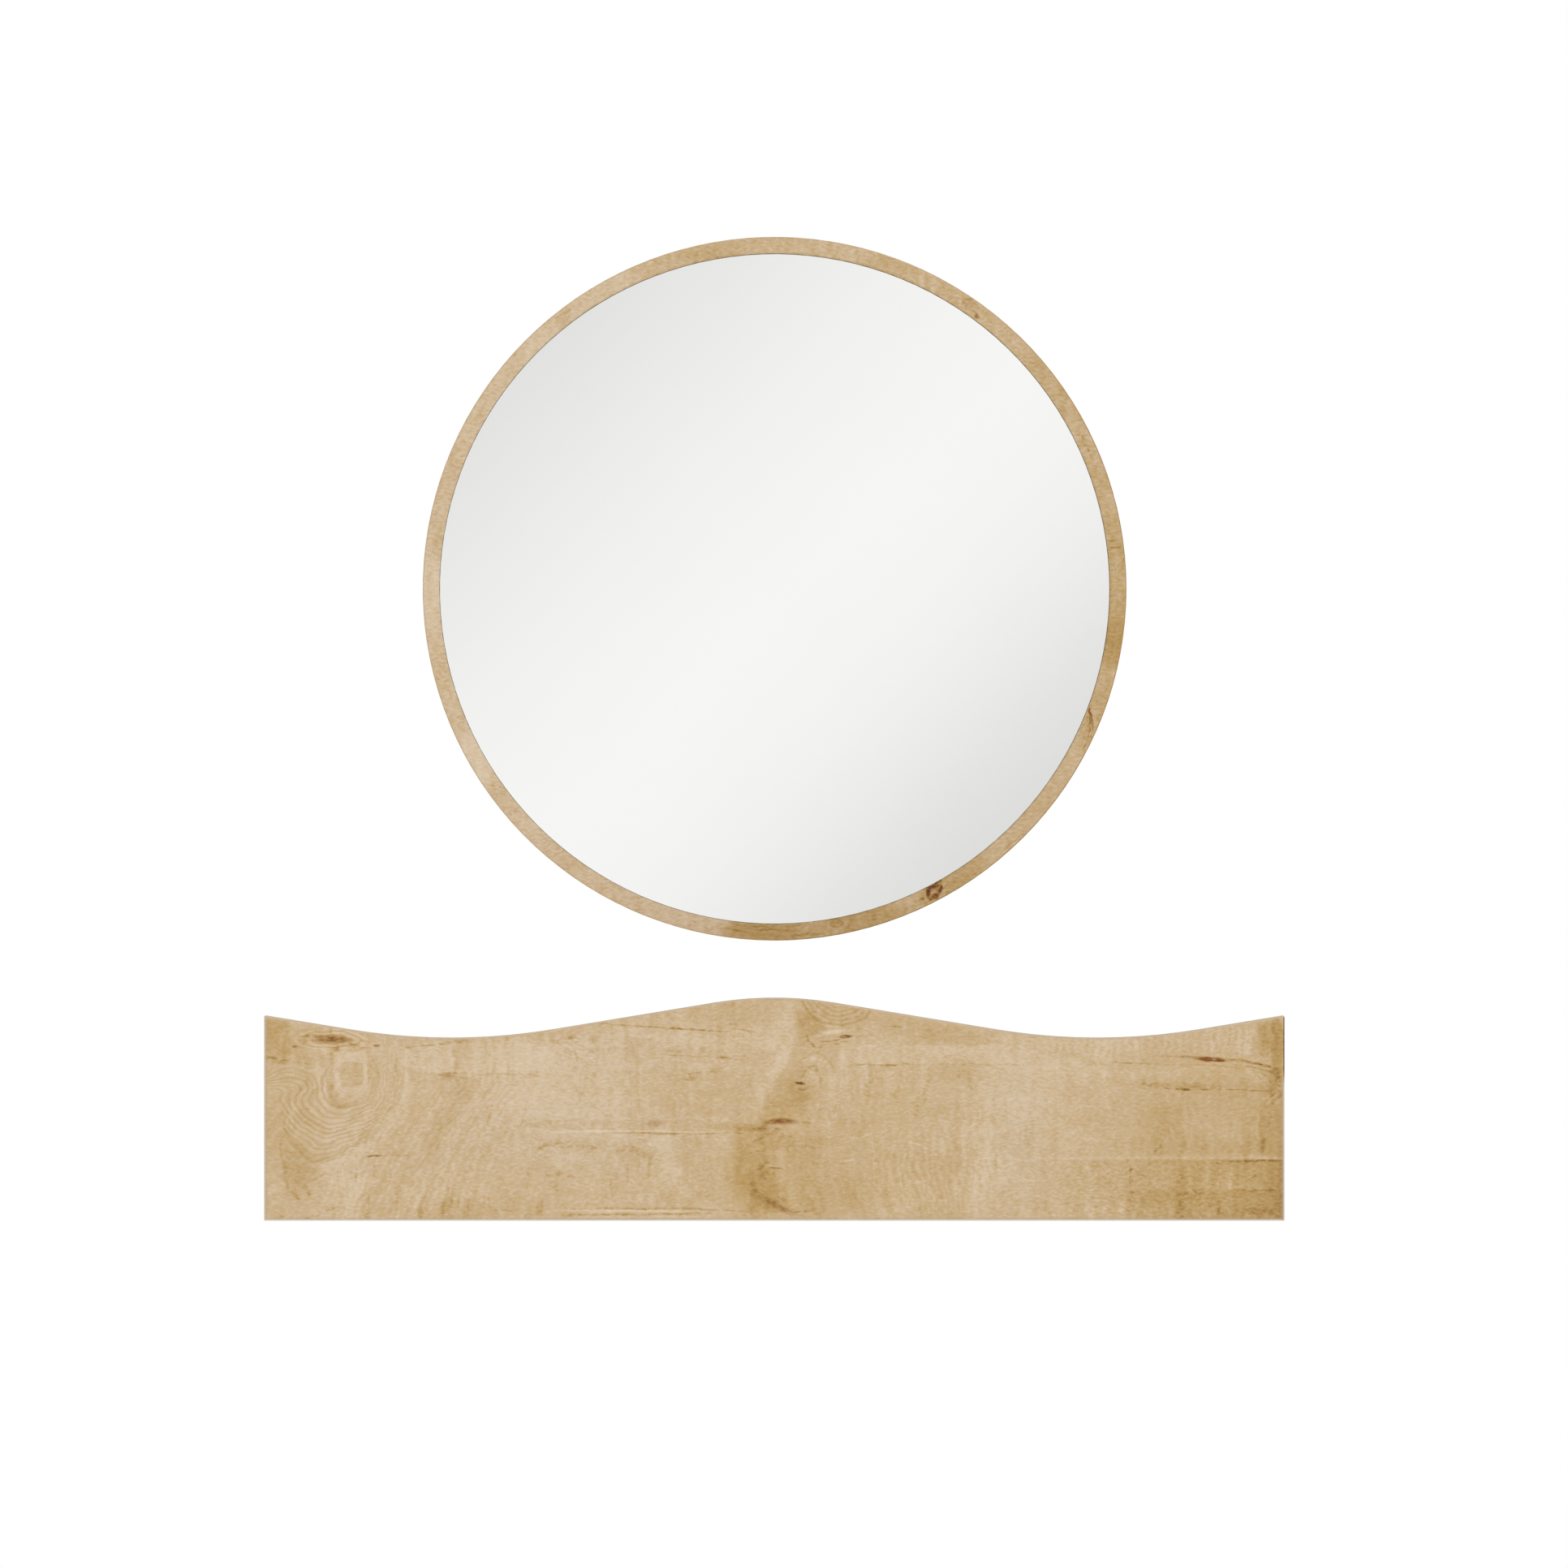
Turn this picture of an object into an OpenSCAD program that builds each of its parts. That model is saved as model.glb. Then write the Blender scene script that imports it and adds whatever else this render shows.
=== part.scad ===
// Round wall mirror with a thin oak-decor rim, and below it a wall-hung shelf
// whose tall front panel has a wavy top edge.
// Millimetres. +X is to the right as seen from the room, +Y points into the
// wall, +Z is up. The wall plane is y = 0. The origin lies on the wall plane,
// half way between the entry holes of the shelf's two hangers.

/* [Mirror] */
// Outside diameter of the round mirror, edge band included
mirror_d = 600; // [560:10:640]
// Width of the wood rim seen round the glass
rim_w = 14; // [10:1:24]
// How far the glass face lies behind the face of the rim
glass_recess = 4; // [2:0.5:4.5]
// Thickness of the mirror glass
glass_t = 3; // [3:0.5:4]
// Play between the edge of the glass and the wall of its pocket
glass_play = 0.15; // [0.1:0.05:1]
// Distance between the two hangers on the back of the mirror
mirror_hang_span = 300; // [240:10:340]
// Height of the mirror's hangers above its centre
mirror_hang_rise = 150; // [100:5:170]
// Gap between the lowest point of the mirror and the crest of the shelf front
mirror_gap = 43; // [20:1:120]

/* [Shelf] */
// Overall width of the shelf
shelf_w = 840; // [820:10:900]
// Overall depth of the shelf, from the wall to the face of the front panel
shelf_d = 180; // [165:5:220]
// Height of the shelf board's top above the bottom of the front panel
board_top = 136; // [132:1:138]
// Height of the side panels
side_h = 155; // [150:1:158]
// Distance between the shelf's two hangers
shelf_hang_span = 640; // [560:10:680]

/* [Wave of the front panel] */
// Height of the front panel at the crest in the middle
crest_h = 183; // [177:1:184]
// Height of the front panel at the two dips
dip_h = 150; // [148:1:153]
// Distance from the middle to each dip
dip_x = 267; // [262:1:290]
// Radius of the crest's arc
crest_r = 303; // [280:1:306]
// Radius of each dip's arc
dip_r = 514; // [480:1:520]

/* [Boards and bands] */
// Thickness of every board
board_t = 18; // [18:0.5:19]
// Thickness of the edge bands
band_t = 0.8; // [0.4:0.1:1]

/* [Fittings] */
// Diameter of the hangers' entry holes
hang_d = 10; // [9:0.5:10]
// Width of the hangers' slots
slot_w = 5.2; // [4.5:0.1:5.5]
// Distance from the front panel's back to the centre of a cam
cam_set = 24; // [24:1:34]
// Diameter of the wooden dowels
dowel_d = 8; // [6:1:8]

/* [Hidden] */

oak = [0.79, 0.69, 0.54];
oak_band = [0.74, 0.63, 0.47];
silvered = [0.88, 0.90, 0.90];
foam = [0.92, 0.92, 0.90];
zinc = [0.72, 0.73, 0.75];
cast = [0.60, 0.61, 0.63];
beech = [0.84, 0.70, 0.52];

// Heights above the bottom of the front panel are turned into the frame's z
// by taking off the height of the hanging holes.
hang_h = 80;
z0 = -hang_h;

// Depths
panel_back = -(shelf_d - board_t);
half_w = shelf_w / 2;
inner_w = half_w - board_t;

// Mirror
mirror_z = z0 + crest_h + mirror_gap + mirror_d / 2;
pocket_r = mirror_d / 2 - rim_w;
tape_t = 1;
pocket_depth = glass_recess + glass_t + tape_t;

// Rail
rail_low = 48;
rail_high = board_top - board_t;

// Wave: the slope of the straight flanks that touch both arcs
arcs_apart = norm([dip_x, dip_h + dip_r - crest_h + crest_r]);
flank = atan2(dip_x, dip_h + dip_r - crest_h + crest_r)
    - acos((crest_r + dip_r) / arcs_apart);

// Middle of the shelf board's thickness, and of a side panel's
board_mid = board_top - board_t / 2;
side_mid = half_w - board_t / 2;

// Places of the fittings along the joints
board_cams = [-340, -120, 120, 340];
board_dowels = [-300, -160, 160, 300];
side_cams = [32, 98];
side_dowels = [65];
rail_dowels = [-220, -60, 60, 220];
board_screws = [-126, -38];
rail_screws = [62, 104];
play = 0.05;

// ---- helpers -------------------------------------------------------------

// A cylinder along Y from y = a to y = b, at x and z
module rod_y(x, z, d, a, b) {
    translate([x, b, z]) rotate([90, 0, 0]) cylinder(d = d, h = b - a, $fn = 48);
}

// A cylinder along X from x = a to x = b, at y and z
module rod_x(y, z, d, a, b) {
    translate([a, y, z]) rotate([0, 90, 0]) cylinder(d = d, h = b - a, $fn = 48);
}

// A cylinder along Z from z = a to z = b, at x and y
module rod_z(x, y, d, a, b) {
    translate([x, y, a]) cylinder(d = d, h = b - a, $fn = 48);
}

// A drawing in X and Z, given a thickness from y = a to y = b
module slab(a, b) {
    translate([0, b, 0]) rotate([90, 0, 0]) linear_extrude(b - a) children();
}

// ---- the wave ------------------------------------------------------------

// One half of the front panel's outline, with its edges drawn in by the given
// amounts. The two arcs keep their centres, so an edge drawn in runs parallel
// to the edge of the panel.
module half_outline(top, low, end) {
    cr = crest_r - top;
    dr = dip_r + top;
    crest_c = crest_h - crest_r;
    dip_c = dip_h + dip_r;
    x1 = cr * sin(flank);
    x2 = dip_x - dr * sin(flank);
    x3 = dip_x + dr * sin(flank);
    x4 = half_w - end;
    h1 = crest_c + cr * cos(flank);
    h2 = dip_c - dr * cos(flank);
    h4 = h2 + (x4 - x3) * tan(flank);
    // under the crest
    intersection() {
        translate([0, low]) square([x1, crest_h]);
        translate([0, crest_c]) circle(r = cr, $fn = 720);
    }
    // straight flank down from the crest
    polygon([[x1, low], [x2, low], [x2, h2], [x1, h1]]);
    // under the dip
    difference() {
        translate([x2, low]) square([x3 - x2, h2 - low]);
        translate([dip_x, dip_c]) circle(r = dr, $fn = 1080);
    }
    // straight flank up to the end
    polygon([[x3, low], [x4, low], [x4, h4], [x3, h2]]);
}

module front_outline(top = 0, low = 0, end = 0) {
    half_outline(top, low, end);
    mirror([1, 0]) half_outline(top, low, end);
}

// ---- fittings ------------------------------------------------------------

// Outline of a hanger plate, seen from the back. The entry hole is at 0, 0.
module plate_outline(grow = 0) {
    w = 22 + 2 * grow;
    h = 50 + 2 * grow;
    r = 4 + grow;
    translate([0, 5]) {
        square([w - 2 * r, h], center = true);
        square([w, h - 2 * r], center = true);
        for (x = [-1, 1], y = [-1, 1])
            translate([x * (w / 2 - r), y * (h / 2 - r)]) circle(r = r, $fn = 32);
    }
}

// Flush steel keyhole plate, its back face on y = 0
module hanger_plate() {
    difference() {
        slab(-2, 0) plate_outline();
        rod_y(0, 0, hang_d, -3, 1);
        rod_y(0, 14, slot_w, -3, 1);
        translate([-slot_w / 2, -3, 0]) cube([slot_w, 4, 14]);
        for (z = [-14, 24]) {
            rod_y(0, z, 4, -3, 1);
            translate([0, 0, z]) rotate([90, 0, 0])
                cylinder(d1 = 7.6, d2 = 4, h = 1.8, $fn = 48);
        }
    }
}

// What is milled out of a board for a hanger plate and the head of the screw
// that it hangs on
module hanger_recess(screw_l) {
    slab(-2, 1) plate_outline(0.1);
    rod_y(0, 0, 13, -7.5, -1);
    rod_y(0, 14, 13, -7.5, -1);
    translate([-6.5, -7.5, 0]) cube([13, 6.5, 14]);
    for (z = [-14, 24]) rod_y(0, z, 3.6, -screw_l - 0.3, -1);
}

// Countersunk screw with its head flush with y = 0, pointing along -Y
module plate_screw(l) {
    rotate([90, 0, 0]) difference() {
        rotate_extrude($fn = 48) polygon([[0, 0], [3.7, 0], [1.75, 1.7],
            [1.75, l - 2], [0.3, l], [0, l]]);
        for (a = [45, 135]) rotate([0, 0, a])
            translate([-2, -0.45, -1]) cube([4, 0.9, 2.1]);
    }
}

// Cam of a knock-down fitting. Its slotted face is on z = 0, and the bolt
// comes to its centre along Y, at the middle of the board.
module cam_lock() {
    difference() {
        cylinder(d = 15, h = 12.5, $fn = 48);
        translate([0, 0, 5.4]) cylinder(d = 10, h = 8, $fn = 48);
        translate([-3.75, -8, 5.4]) cube([7.5, 8, 8]);
        for (a = [45, 135]) rotate([0, 0, a])
            translate([-3.6, -0.8, -1]) cube([7.2, 1.6, 4]);
        translate([0, 0, -1]) cylinder(d = 3.4, h = 4.4, $fn = 32);
    }
}

// Bolt of a knock-down fitting. It is screwed into the front panel, whose back
// is y = 0 here, and its head ends in the cam.
module cam_bolt() {
    thread = [for (i = [0:3]) each [[2.4, -10.4 + 2.5 * i], [2.95, -9.6 + 2.5 * i],
        [2.4, -8.6 + 2.5 * i]]];
    rotate([-90, 0, 0]) difference() {
        rotate_extrude($fn = 48) polygon(concat([[0, -11], [1.8, -11]], thread,
            [[2.4, 0], [3.7, 0], [3.7, 1.2], [3, 1.8], [3, cam_set - 5],
            [1.75, cam_set - 4], [1.75, cam_set - 1.6], [3.1, cam_set - 1],
            [3.1, cam_set + 1.2], [2.2, cam_set + 2], [0, cam_set + 2]]));
        for (a = [0, 90]) rotate([0, 0, a])
            translate([-1.6, -0.4, cam_set + 0.6]) cube([3.2, 0.8, 2]);
    }
}

// Wooden dowel along Z, half way at z = 0 is where the two boards meet:
// 12 mm of it lies below and 18 mm above
module dowel() {
    r = dowel_d / 2;
    rotate_extrude($fn = 48) polygon([[0, -12], [r - 0.8, -12], [r, -11],
        [r, 17], [r - 0.8, 18], [0, 18]]);
}

// Confirmat screw along Z, head at z = 0, pointing down
module confirmat() {
    thread = [for (i = [0:10]) each [[2.5, -17.5 - 2.8 * i], [3.45, -18.4 - 2.8 * i],
        [2.5, -19.3 - 2.8 * i]]];
    difference() {
        rotate_extrude($fn = 48) polygon(concat([[0, 0], [4.8, 0], [4.8, -1.2],
            [3.45, -3.6], [3.45, -16]], thread, [[2.5, -48.3], [1, -50], [0, -50]]));
        translate([0, 0, -3]) cylinder(d = 4.6, h = 4, $fn = 6);
    }
}

// Cap over a confirmat screw, flush with the side's face at z = 0
module cap() {
    rotate_extrude($fn = 48) polygon([[0, -1.5], [5.95, -1.5], [5.95, -0.3],
        [5.65, 0], [0, 0]]);
    translate([0, 0, -3.6]) cylinder(d = 3.4, h = 2.2, $fn = 32);
}

// The bore for one confirmat screw and its cap through a side panel whose
// outer face is z = 0, and into the board behind it
module confirmat_bore(deep) {
    rotate_extrude($fn = 48) polygon([[0, 1], [6, 1], [6, -1.5], [4.9, -1.5],
        [4.9, -2.8], [3.5, -5.2], [3.5, -deep], [0, -deep]]);
}

// ---- where the fittings go -------------------------------------------------

// Children at every confirmat screw: outer face of a side at z = 0
module at_confirmats() {
    for (s = [-1, 1]) {
        for (y = board_screws) translate([s * half_w, y, z0 + board_mid])
            rotate([0, s * 90, 0]) children();
        for (z = rail_screws) translate([s * half_w, -board_t / 2, z0 + z])
            rotate([0, s * 90, 0]) children();
    }
}

// Children at every cam of the shelf board: its slotted face is the underside
module at_board_cams() {
    for (x = board_cams)
        translate([x, panel_back + cam_set, z0 + board_top - board_t]) children();
}

// Children at every cam of the sides: its slotted face is the inner face
module at_side_cams() {
    for (s = [-1, 1], z = side_cams)
        translate([s * inner_w, panel_back + cam_set, z0 + z])
            rotate([0, s * 90, 0]) children();
}

// Children at every cam bolt, the front panel's back at y = 0
module at_bolts() {
    for (x = board_cams) translate([x, panel_back, z0 + board_mid]) children();
    for (s = [-1, 1], z = side_cams)
        translate([s * side_mid, panel_back, z0 + z]) children();
}

// Children at every dowel between the front panel and the boards behind it
module at_front_dowels() {
    for (x = board_dowels)
        translate([x, panel_back, z0 + board_mid]) rotate([-90, 0, 0]) children();
    for (s = [-1, 1], z = side_dowels)
        translate([s * side_mid, panel_back, z0 + z]) rotate([-90, 0, 0]) children();
}

// Children at every dowel between the shelf board and the rail under it.
// The short end goes up into the board.
module at_rail_dowels() {
    for (x = rail_dowels) translate([x, -board_t / 2, z0 + rail_high])
        rotate([180, 0, 0]) children();
}

module dowel_bore() {
    translate([0, 0, -12.5])
        cylinder(d = dowel_d + 2 * play, h = 31.5, $fn = 48);
}

// ---- the mirror ------------------------------------------------------------

module at_mirror_hangers() {
    for (s = [-1, 1]) translate([s * mirror_hang_span / 2, 0,
        mirror_z + mirror_hang_rise]) children();
}

// Disc with a round pocket for the glass in front
module mirror_board() {
    color(oak) difference() {
        translate([0, 0, mirror_z]) rotate([90, 0, 0])
            cylinder(r = mirror_d / 2 - band_t, h = board_t, $fn = 720);
        translate([0, -board_t + pocket_depth, mirror_z]) rotate([90, 0, 0])
            cylinder(r = pocket_r, h = pocket_depth + 1, $fn = 720);
        at_mirror_hangers() hanger_recess(9);
    }
}

// Band round the disc, its ends meeting at the bottom
module mirror_edge_band() {
    color(oak_band) translate([0, 0, mirror_z]) difference() {
        rotate([90, 0, 0]) rotate_extrude($fn = 720)
            polygon([[mirror_d / 2 - band_t, 0], [mirror_d / 2 - 0.3, 0],
                [mirror_d / 2, 0.3], [mirror_d / 2, board_t - 0.3],
                [mirror_d / 2 - 0.3, board_t], [mirror_d / 2 - band_t, board_t]]);
        translate([-0.1, -board_t - 1, -mirror_d / 2 - 1])
            cube([0.2, board_t + 2, 3]);
    }
}

// Round glass with ground arrises
module mirror_glass() {
    r = pocket_r - glass_play;
    color(silvered)
        translate([0, -board_t + glass_recess + glass_t, mirror_z])
            rotate([90, 0, 0]) rotate_extrude($fn = 720)
                polygon([[0, 0], [r - 0.3, 0], [r, 0.3], [r, glass_t - 0.3],
                    [r - 0.3, glass_t], [0, glass_t]]);
}

// Strips of double-sided foam tape that hold the glass in its pocket
module mirror_tape() {
    color(foam) for (x = [-200, -100, 0, 100, 200]) {
        l = 2 * sqrt(pow(pocket_r - 40, 2) - x * x);
        translate([x - 9.5, -board_t + pocket_depth - tape_t, mirror_z - l / 2])
            cube([19, tape_t, l]);
    }
}

module mirror_hanger_left() {
    color(zinc) translate([-mirror_hang_span / 2, 0,
        mirror_z + mirror_hang_rise]) hanger_plate();
}

module mirror_hanger_right() {
    color(zinc) translate([mirror_hang_span / 2, 0,
        mirror_z + mirror_hang_rise]) hanger_plate();
}

module mirror_hanger_screws() {
    color(zinc) at_mirror_hangers()
        for (z = [-14, 24]) translate([0, 0, z]) plate_screw(9);
}

// ---- the shelf -------------------------------------------------------------

// Tall front panel with the wavy top, without its bands
module front_panel() {
    color(oak) difference() {
        translate([0, 0, z0]) slab(-shelf_d, panel_back)
            front_outline(band_t, band_t, band_t);
        at_bolts() rod_y(0, 0, 6, -11.5, 1);
        at_front_dowels() dowel_bore();
    }
}

module front_top_band() {
    color(oak_band) translate([0, 0, z0]) slab(-shelf_d, panel_back)
        difference() {
            front_outline();
            front_outline(band_t, -1, -1);
        }
}

module front_bottom_band() {
    color(oak_band) translate([-half_w, -shelf_d, z0])
        cube([shelf_w, board_t, band_t]);
}

// Band on one end, between the top band and the bottom band
module front_end_band(s) {
    translate([0, 0, z0]) slab(-shelf_d, panel_back) intersection() {
        front_outline(band_t, band_t, 0);
        translate([s > 0 ? half_w - band_t : -half_w, 0])
            square([band_t, crest_h]);
    }
}

module front_left_band() { color(oak_band) front_end_band(-1); }

module front_right_band() { color(oak_band) front_end_band(1); }

// The board that things stand on, between the sides and behind the front
module shelf_board() {
    color(oak) difference() {
        translate([-inner_w, panel_back, z0 + board_top - board_t])
            cube([2 * inner_w, -panel_back, board_t]);
        at_board_cams() translate([0, 0, -1])
            cylinder(d = 15 + 2 * play, h = 14.3, $fn = 48);
        at_bolts() rod_y(0, 0, 8, -1, cam_set);
        at_front_dowels() dowel_bore();
        at_rail_dowels() dowel_bore();
        at_confirmats() confirmat_bore(52);
    }
}

module side_panel(s) {
    color(oak) difference() {
        translate([s > 0 ? inner_w : -half_w, panel_back, z0 + band_t])
            cube([board_t, -panel_back, side_h - 2 * band_t]);
        at_side_cams() translate([0, 0, -1])
            cylinder(d = 15 + 2 * play, h = 14.3, $fn = 48);
        at_bolts() rod_y(0, 0, 8, -1, cam_set);
        at_front_dowels() dowel_bore();
        at_confirmats() confirmat_bore(52);
    }
}

module side_panel_left() { side_panel(-1); }

module side_panel_right() { side_panel(1); }

// Band on the top or the bottom edge of a side
module side_band(s, z) {
    color(oak_band) translate([s > 0 ? inner_w : -half_w, panel_back, z0 + z])
        cube([board_t, -panel_back, band_t]);
}

module side_left_top_band() { side_band(-1, side_h - band_t); }

module side_left_bottom_band() { side_band(-1, 0); }

module side_right_top_band() { side_band(1, side_h - band_t); }

module side_right_bottom_band() { side_band(1, 0); }

// Upright rail against the wall, under the back of the shelf board
module hanging_rail() {
    color(oak) difference() {
        translate([-inner_w, -board_t, z0 + rail_low + band_t])
            cube([2 * inner_w, board_t, rail_high - rail_low - band_t]);
        for (s = [-1, 1]) translate([s * shelf_hang_span / 2, 0, 0])
            hanger_recess(14);
        at_rail_dowels() dowel_bore();
        at_confirmats() confirmat_bore(52);
    }
}

module rail_bottom_band() {
    color(oak_band) translate([-inner_w, -board_t, z0 + rail_low])
        cube([2 * inner_w, board_t, band_t]);
}

// ---- groups of like fittings -----------------------------------------------

module cam_locks() {
    color(cast) {
        at_board_cams() cam_lock();
        at_side_cams() cam_lock();
    }
}

module cam_bolts() { color(zinc) at_bolts() cam_bolt(); }

module dowels() {
    color(beech) {
        at_front_dowels() dowel();
        at_rail_dowels() dowel();
    }
}

module confirmat_screws() {
    color(zinc) at_confirmats() translate([0, 0, -1.55]) confirmat();
}

module screw_caps() { color(oak_band) at_confirmats() cap(); }

module shelf_hanger_left() {
    color(zinc) translate([-shelf_hang_span / 2, 0, 0]) hanger_plate();
}

module shelf_hanger_right() {
    color(zinc) translate([shelf_hang_span / 2, 0, 0]) hanger_plate();
}

module shelf_hanger_screws() {
    color(zinc) for (s = [-1, 1], z = [-14, 24])
        translate([s * shelf_hang_span / 2, 0, z]) plate_screw(14);
}

mirror_board();
mirror_edge_band();
mirror_glass();
mirror_tape();
mirror_hanger_left();
mirror_hanger_right();
mirror_hanger_screws();
front_panel();
front_top_band();
front_bottom_band();
front_left_band();
front_right_band();
shelf_board();
side_panel_left();
side_panel_right();
side_left_top_band();
side_left_bottom_band();
side_right_top_band();
side_right_bottom_band();
hanging_rail();
rail_bottom_band();
cam_locks();
cam_bolts();
dowels();
confirmat_screws();
screw_caps();
shelf_hanger_left();
shelf_hanger_right();
shelf_hanger_screws();
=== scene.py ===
"""Looks for a round wall mirror with a thin oak-decor rim and a wall-hung shelf
whose tall front panel has a wavy top edge.

Metres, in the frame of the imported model: +X right, +Y into the wall, +Z up.
"""

import math

import bpy
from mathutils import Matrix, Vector

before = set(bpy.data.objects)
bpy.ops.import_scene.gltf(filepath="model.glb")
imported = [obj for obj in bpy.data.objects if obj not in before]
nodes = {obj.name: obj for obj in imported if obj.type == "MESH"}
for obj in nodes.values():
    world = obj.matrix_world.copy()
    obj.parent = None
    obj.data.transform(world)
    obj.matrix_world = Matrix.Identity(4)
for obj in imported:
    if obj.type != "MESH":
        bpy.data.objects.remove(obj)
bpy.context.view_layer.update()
scene = bpy.context.scene
scene.view_settings.view_transform = "Standard"
scene.view_settings.look = "None"
scene.view_settings.exposure = 0.0
scene.view_settings.gamma = 1.0

# How many image points one metre takes on the two faces that the camera sees
# straight on. The grain of these faces is laid out in these points, with u to
# the right and v downwards.
FRONT_K, FRONT_U, FRONT_V = 1496.7, 948.5, 1384.26
RING_K, RING_U, RING_V = 1445.3, 957.7, 1370.2


def lin(c):
    """An sRGB colour from 0 to 255 as linear numbers."""
    out = []
    for x in c:
        x /= 255.0
        out.append(x / 12.92 if x <= 0.04045 else ((x + 0.055) / 1.055) ** 2.4)
    return tuple(out) + (1.0,)


# ---------------------------------------------------------------- node building


class Graph:
    """A material whose nodes are made one after another, each after what it reads."""

    def __init__(self, name):
        self.mat = bpy.data.materials.new(name)
        self.mat.use_nodes = True
        self.nt = self.mat.node_tree
        self.nt.nodes.clear()
        self.obj = self.new("ShaderNodeTexCoord").outputs["Object"]
        sep = self.new("ShaderNodeSeparateXYZ")
        self.put(sep.inputs[0], self.obj)
        self.x, self.y, self.z = sep.outputs

    def new(self, kind):
        return self.nt.nodes.new(kind)

    def put(self, socket, value):
        if isinstance(value, bpy.types.NodeSocket):
            self.nt.links.new(value, socket)
            return
        now = socket.default_value
        if (tuple(now) if hasattr(now, "__len__") else now) != value:
            socket.default_value = value

    def math(self, op, *values):
        n = self.new("ShaderNodeMath")
        n.operation = op
        for s, v in zip(n.inputs, values):
            self.put(s, v)
        return n.outputs[0]

    def add(self, a, b):
        return self.math("ADD", a, b)

    def mul(self, a, b):
        return self.math("MULTIPLY", a, b)

    def mad(self, a, b, c):
        return self.math("MULTIPLY_ADD", a, b, c)

    def vec(self, op, *values):
        n = self.new("ShaderNodeVectorMath")
        n.operation = op
        for s, v in zip(n.inputs, values):
            self.put(s, v)
        if op in ("DOT_PRODUCT", "LENGTH", "DISTANCE"):
            return n.outputs["Value"]
        return n.outputs["Vector"]

    def xyz(self, x, y, z=0.0):
        n = self.new("ShaderNodeCombineXYZ")
        for s, v in zip(n.inputs, (x, y, z)):
            self.put(s, v)
        return n.outputs[0]

    def noise(self, p, sx, sy, detail=2.0, rough=0.5, at=(0.0, 0.0), dims="2D", sz=1.0):
        """Smooth noise of p stretched by sx and sy, with mean 0 and a spread of about 1."""
        q = self.vec("MULTIPLY_ADD", p, (sx, sy, sz), (at[0], at[1], at[0] * 0.37))
        n = self.new("ShaderNodeTexNoise")
        n.noise_dimensions = dims
        n.inputs["Scale"].default_value = 1.0
        n.inputs["Detail"].default_value = detail
        n.inputs["Roughness"].default_value = rough
        self.put(n.inputs["Vector"], q)
        return self.mad(n.outputs[0], 8.0, -4.0)

    def step(self, value, lo, hi, to_lo=0.0, to_hi=1.0):
        """Smooth step of a value."""
        n = self.new("ShaderNodeMapRange")
        n.interpolation_type = "SMOOTHSTEP"
        n.clamp = False  # the step is clamped by its own shape
        for s, v in zip(n.inputs, (value, lo, hi, to_lo, to_hi)):
            self.put(s, v)
        return n.outputs[0]

    def ramp(self, value, stops, low, high):
        """Colour of a value, from (value, sRGB colour) stops."""
        n = self.new("ShaderNodeValToRGB")
        self.put(n.inputs[0], self.math("DIVIDE", self.math("SUBTRACT", value, low), high - low))
        els = n.color_ramp.elements
        while len(els) > 1:
            els.remove(els[-1])
        for i, (t, c) in enumerate(stops):
            at = (t - low) / (high - low)
            e = els[0] if i == 0 else els.new(at)
            e.position = at
            e.color = c if len(c) == 4 else lin(c)
        return n.outputs[0]

    def mix(self, f, a, b, blend="MIX"):
        n = self.new("ShaderNodeMix")
        n.data_type = "RGBA"
        n.blend_type = blend
        self.put(n.inputs[0], f)
        self.put(n.inputs[6], a)
        self.put(n.inputs[7], b)
        return n.outputs[2]

    def mixf(self, f, a, b):
        n = self.new("ShaderNodeMix")
        self.put(n.inputs[0], f)
        self.put(n.inputs[2], a)
        self.put(n.inputs[3], b)
        return n.outputs[0]

    def voronoi(self, p, scale, feature="F1", rand=1.0, dims="3D"):
        n = self.new("ShaderNodeTexVoronoi")
        n.voronoi_dimensions = dims
        n.feature = feature
        self.put(n.inputs["Vector"], p)
        n.inputs["Scale"].default_value = scale
        n.inputs["Randomness"].default_value = rand
        return n

    def bump(self, height, strength, distance):
        n = self.new("ShaderNodeBump")
        n.inputs["Strength"].default_value = strength
        n.inputs["Distance"].default_value = distance
        self.put(n.inputs["Height"], height)
        return n.outputs[0]

    def finish(self, color, roughness, normal=None, metallic=0.0, **kw):
        b = self.new("ShaderNodeBsdfPrincipled")
        self.put(b.inputs["Base Color"], color)
        self.put(b.inputs["Roughness"], roughness)
        self.put(b.inputs["Metallic"], metallic)
        if normal is not None:
            self.put(b.inputs["Normal"], normal)
        for k, v in kw.items():
            b.inputs[k.replace("_", " ")].default_value = v
        out = self.new("ShaderNodeOutputMaterial")
        self.nt.links.new(b.outputs[0], out.inputs[0])
        return self.mat

    def dab(self, total, p, u, v, a, b, deg, amount):
        """Adds a soft oval patch to a running total. a and b are its half lengths in
        points, deg turns it clockwise, and it is amount strong in its middle."""
        if deg == 0:
            q = self.vec("MULTIPLY_ADD", p, (1 / a, 1 / b, 0), (-u / a, -v / b, 0))
            r2 = self.vec("DOT_PRODUCT", q, q)
        else:
            c, s = math.cos(math.radians(deg)), math.sin(math.radians(deg))
            i = self.vec("DOT_PRODUCT", p, (c / a, s / a, -(u * c + v * s) / a))
            j = self.vec("DOT_PRODUCT", p, (-s / b, c / b, (u * s - v * c) / b))
            r2 = self.mad(j, j, self.mul(i, i))
        return self.add(total, self.step(r2, 0.0, 1.0, amount, 0.0))

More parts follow.
